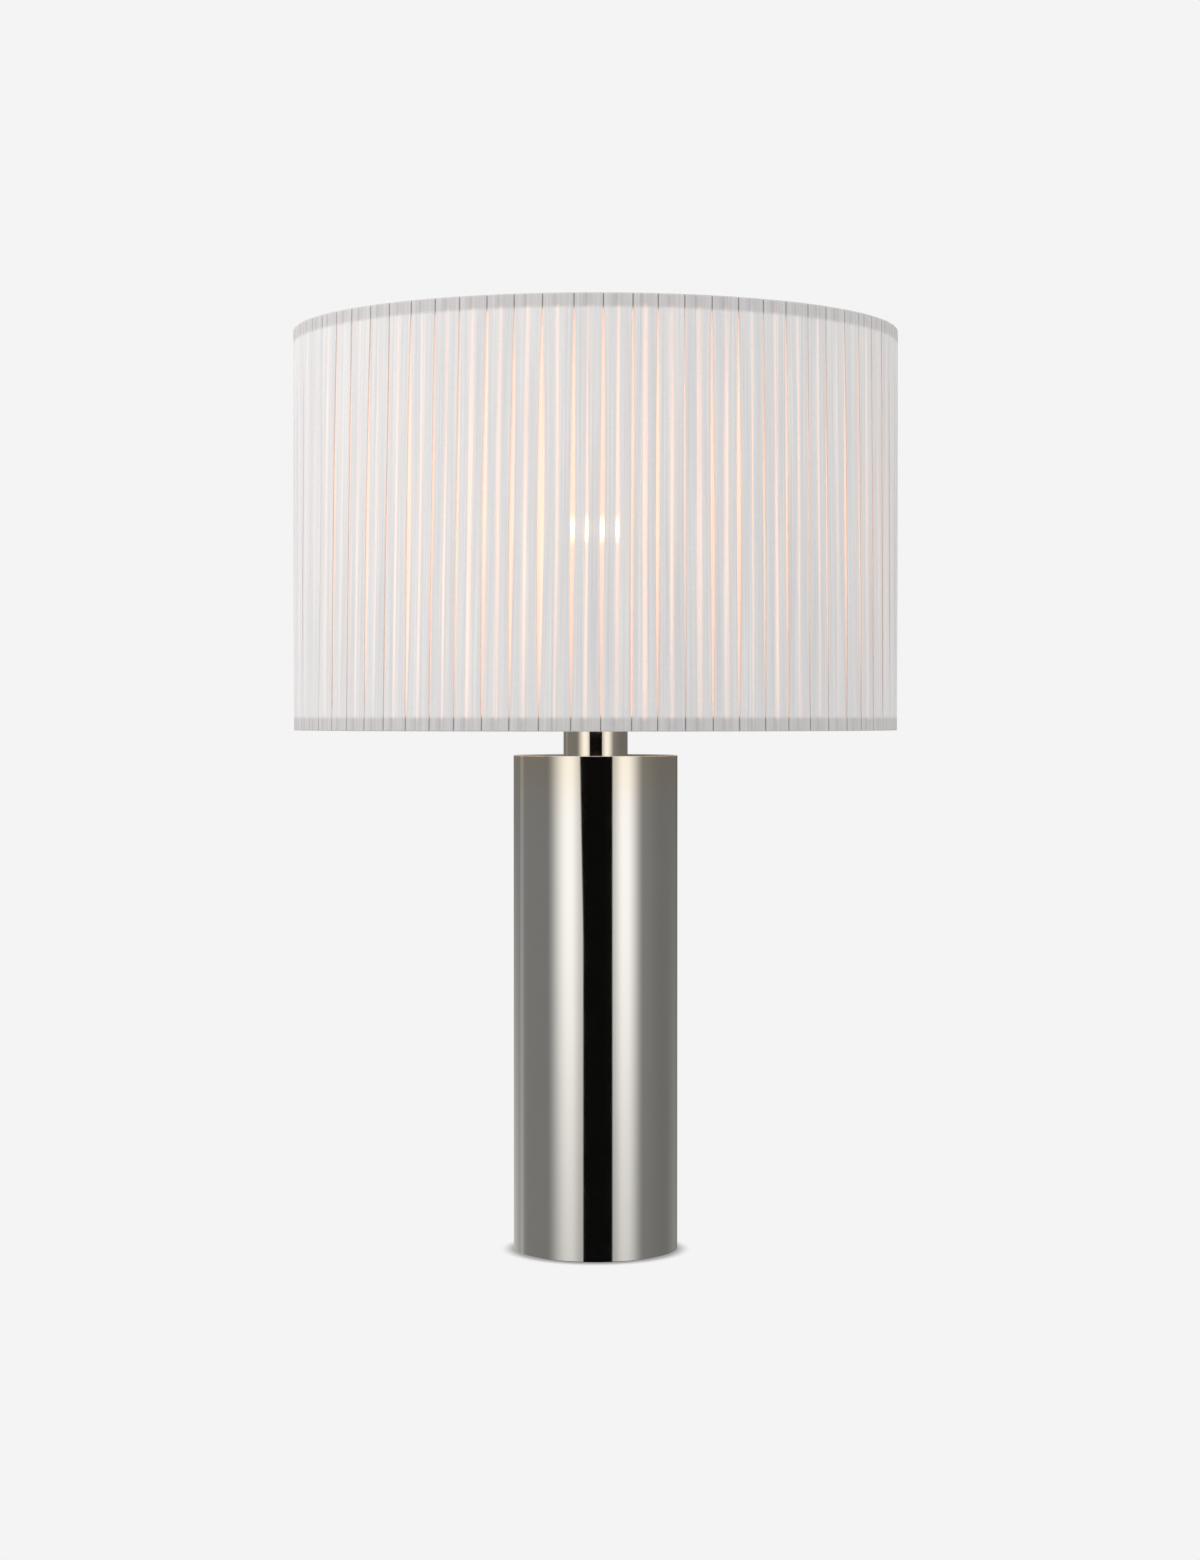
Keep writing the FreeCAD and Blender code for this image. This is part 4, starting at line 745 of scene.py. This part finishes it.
def wall_material(settings):
    """What the metal mirrors: a dark flag behind the camera, a soft box each side of it, and grey walls.

    Directions round the lamp are degrees from the front, with the right positive. Each box is full a little
    beside the flag and falls off smoothly to the wall. The far wall is brighter low down, with one narrow
    streak at its left. By height the boxes dim towards the floor and turn warm above the column's top,
    a painted glow of the lit shade for the column's top to mirror.
    """
    made = empty_material("studio_wall")
    tree = made.node_tree
    parts = add(tree, "ShaderNodeSeparateXYZ", {0: add(tree, "ShaderNodeTexCoord").outputs["Object"]}).outputs
    front = calc(tree, "MULTIPLY", parts["Y"], -1.0)
    round_lamp = calc(tree, "MULTIPLY", calc(tree, "ARCTAN2", parts["X"], front), 180 / math.pi)
    edge = calc(tree, "ADD", round_lamp, ramp(tree, parts["Z"], 0.0, 0.3, -4.5, 0.0))
    left_of_flag = ramp(tree, edge, -22, -21, 1.0, 0.0)
    right_of_flag = ramp(tree, round_lamp, 23, 24)
    left_box = calc(tree, "MULTIPLY", ramp(tree, round_lamp, -72, -38, smooth=True),
                    ramp(tree, round_lamp, -35, -18, 1.0, 0.5, smooth=True))
    right_side = calc(tree, "ADD", ramp(tree, round_lamp, 43, 71, 0.94, 0.0, smooth=True),
                      ramp(tree, round_lamp, 60, 105, 0.06, 0.0, smooth=True))
    right_box = calc(tree, "MULTIPLY", ramp(tree, round_lamp, 24, 39, 0.5, 1.0, smooth=True), right_side)
    boxes = calc(tree, "ADD", calc(tree, "MULTIPLY", left_box, left_of_flag),
                 calc(tree, "MULTIPLY", right_box, right_of_flag))
    far = calc(tree, "ADD", ramp(tree, round_lamp, -165, -105, 1.0, 0.0, smooth=True),
               ramp(tree, round_lamp, 115, 150, 0.0, 0.3, smooth=True))
    streak = calc(tree, "MULTIPLY", ramp(tree, round_lamp, -133, -128, 0.0, 0.12, smooth=True),
                  ramp(tree, round_lamp, -127, -116, 1.0, 0.0, smooth=True))
    far = calc(tree, "ADD", calc(tree, "MULTIPLY", far, ramp(tree, parts["Z"], -0.5, 0.2, 0.3, 0.0)), streak)
    wall = calc(tree, "ADD", far, ramp(tree, round_lamp, -110, 110, 0.215, 0.18))
    wall = calc(tree, "SUBTRACT", wall, ramp(tree, round_lamp, 145, 165, 0.0, 0.05, smooth=True))
    wall = calc(tree, "MULTIPLY", wall, calc(tree, "ADD", calc(tree, "ADD", left_of_flag, right_of_flag), 0.02))
    dim = ramp(tree, parts["Z"], -0.75, 0.15, 0.5, 1.0, smooth=True)
    # Painted reflection: the boxes turn warm above the column's top, standing in for the lit shade's glow.
    warm = ramp(tree, parts["Z"], 0.19, 0.29, smooth=True)
    strength = calc(tree, "ADD", calc(tree, "MULTIPLY", calc(tree, "MULTIPLY", boxes, dim),
                                      settings.box_strength), wall)
    tone = tinted(tree, warm, (1.0, 0.985, 0.955), (1.0, 0.92, 0.78))
    made.cycles.emission_sampling = "NONE"
    return close(made, add(tree, "ShaderNodeEmission", {"Color": tone, "Strength": strength}).outputs[0])


def build_world(settings):
    """Even studio light, and the plain ground where it is seen."""
    world = bpy.data.worlds.new("studio")
    bpy.context.scene.world = world
    world.use_nodes = True
    tree = world.node_tree
    tree.nodes.clear()
    path = light_shares(tree)
    seen = calc(tree, "MAXIMUM", calc(tree, "MAXIMUM", path["Is Camera Ray"], path["Is Glossy Ray"]),
                path["Is Transmission Ray"])
    light = add(tree, "ShaderNodeBackground", {"Color": (1, 1, 1, 1), "Strength": settings.sky}).outputs[0]
    ground = add(tree, "ShaderNodeBackground", {"Color": (*settings.ground, 1), "Strength": 1.0}).outputs[0]
    both = add(tree, "ShaderNodeMixShader", {0: seen, 1: light, 2: ground}).outputs[0]
    output = add(tree, "ShaderNodeOutputWorld")
    tree.links.new(both, output.inputs["Surface"])


class LAMP_OT_stage(Operator):
    """Sets the floor, the studio, the bulb's light and the camera"""

    bl_idname = "lamp.stage"
    bl_label = "Stage"

    def execute(self, context):
        settings = context.scene.lamp_light
        floor = turned("studio_floor", [(settings.floor, 0), (0.2, 0), (0.05, 0), (1e-5, 0)], 96)
        floor.visible_glossy = False
        floor.data.materials.append(ground_material(settings))
        wall = turned("studio_wall", [(3, -3), (3, -1), (3, 0), (3, 1), (3, 3)], 96)
        for ray in ("camera", "diffuse", "transmission", "volume_scatter", "shadow"):
            setattr(wall, f"visible_{ray}", False)
        wall.data.materials.append(wall_material(settings))
        build_world(settings)

        # The floor is left out of every lamp's light, so that the world alone lights it.
        unlit = bpy.data.collections.new("lit_by_the_studio_alone")
        unlit.objects.link(floor)
        fan = bpy.data.lights.new("filament_light", "AREA")
        fan.shape = "RECTANGLE"
        fan.size = 32 * MM
        fan.size_y = 12 * MM
        fan.energy = settings.bulb_power * 0.5
        fan.color = settings.bulb_colour
        frost = bpy.data.lights.new("frost_light", "POINT")
        frost.shadow_soft_size = 0.024
        frost.energy = settings.bulb_power * 0.1
        frost.color = settings.bulb_colour
        for light, turn in ((fan, -90), (fan, 90), (frost, 0)):
            bulb = link(light.name, light)
            bulb.location = FILAMENT
            bulb.rotation_euler = (math.radians(turn), 0, 0)
            bulb.visible_camera = False
            bulb.visible_glossy = False
            bulb.light_linking.receiver_collection = unlit
        unlit.collection_objects[0].light_linking.link_state = "EXCLUDE"

        for name, power, size, place, aim in (
                ("key_light", settings.key, 0.8, (-1.0, -0.35, 1.1), (1.0, 0.35, -0.62)),
                ("overhead_light", settings.overhead, 1.1, (0.1, -0.45, 1.3), (-0.1, 0.3, -1.0))):
            wide = bpy.data.lights.new(name, "AREA")
            wide.size = size
            wide.energy = power
            lamp = link(name, wide)
            lamp.location = place
            lamp.rotation_euler = Vector(aim).to_track_quat("-Z", "Y").to_euler()
            lamp.visible_camera = False
            lamp.visible_glossy = False
            lamp.light_linking.receiver_collection = unlit

        # The lens, the place and the tilt fit the shade's two rims and the column's foot.
        lens = bpy.data.cameras.new("camera")
        lens.lens = 67.85
        lens.sensor_width = 36
        lens.clip_start = 0.05
        camera = link("camera", lens)
        camera.location = (0.003, -1.994, 0.362)
        camera.rotation_euler = (math.radians(88.76), 0, 0)
        context.scene.camera = camera
        context.scene.view_settings.view_transform = "Standard"
        return {"FINISHED"}


STEPS = (LAMP_OT_stage, LAMP_OT_cover, LAMP_OT_tapes, LAMP_OT_felt, LAMP_OT_finishes)


class LAMP_PT_sidebar(Panel):
    """Lists the lamp's pieces"""

    bl_idname = "LAMP_PT_sidebar"
    bl_label = "Pleated Drum Lamp"
    bl_space_type = "VIEW_3D"
    bl_region_type = "UI"
    bl_category = "Lamp"

    def draw(self, context):
        for step in STEPS:
            self.layout.operator(step.bl_idname)
        for settings in (context.scene.lamp_shade, context.scene.lamp_finish, context.scene.lamp_light):
            box = self.layout.box()
            for name in settings.bl_rna.properties.keys():
                if name not in ("rna_type", "name"):
                    box.prop(settings, name)


SETTINGS = {"lamp_shade": LampShadeSettings, "lamp_finish": LampFinishSettings, "lamp_light": LampLightSettings}


def register():
    for made in (*SETTINGS.values(), *STEPS, LAMP_PT_sidebar):
        bpy.utils.register_class(made)
    for name, made in SETTINGS.items():
        setattr(bpy.types.Scene, name, PointerProperty(type=made))


def unregister():
    for name in SETTINGS:
        delattr(bpy.types.Scene, name)
    for made in (LAMP_PT_sidebar, *reversed(STEPS), *reversed(list(SETTINGS.values()))):
        bpy.utils.unregister_class(made)


def main():
    """Makes the whole lamp."""
    register()
    for step in STEPS:
        group, name = step.bl_idname.split(".")
        getattr(getattr(bpy.ops, group), name)()


if __name__ == "__main__":
    main()
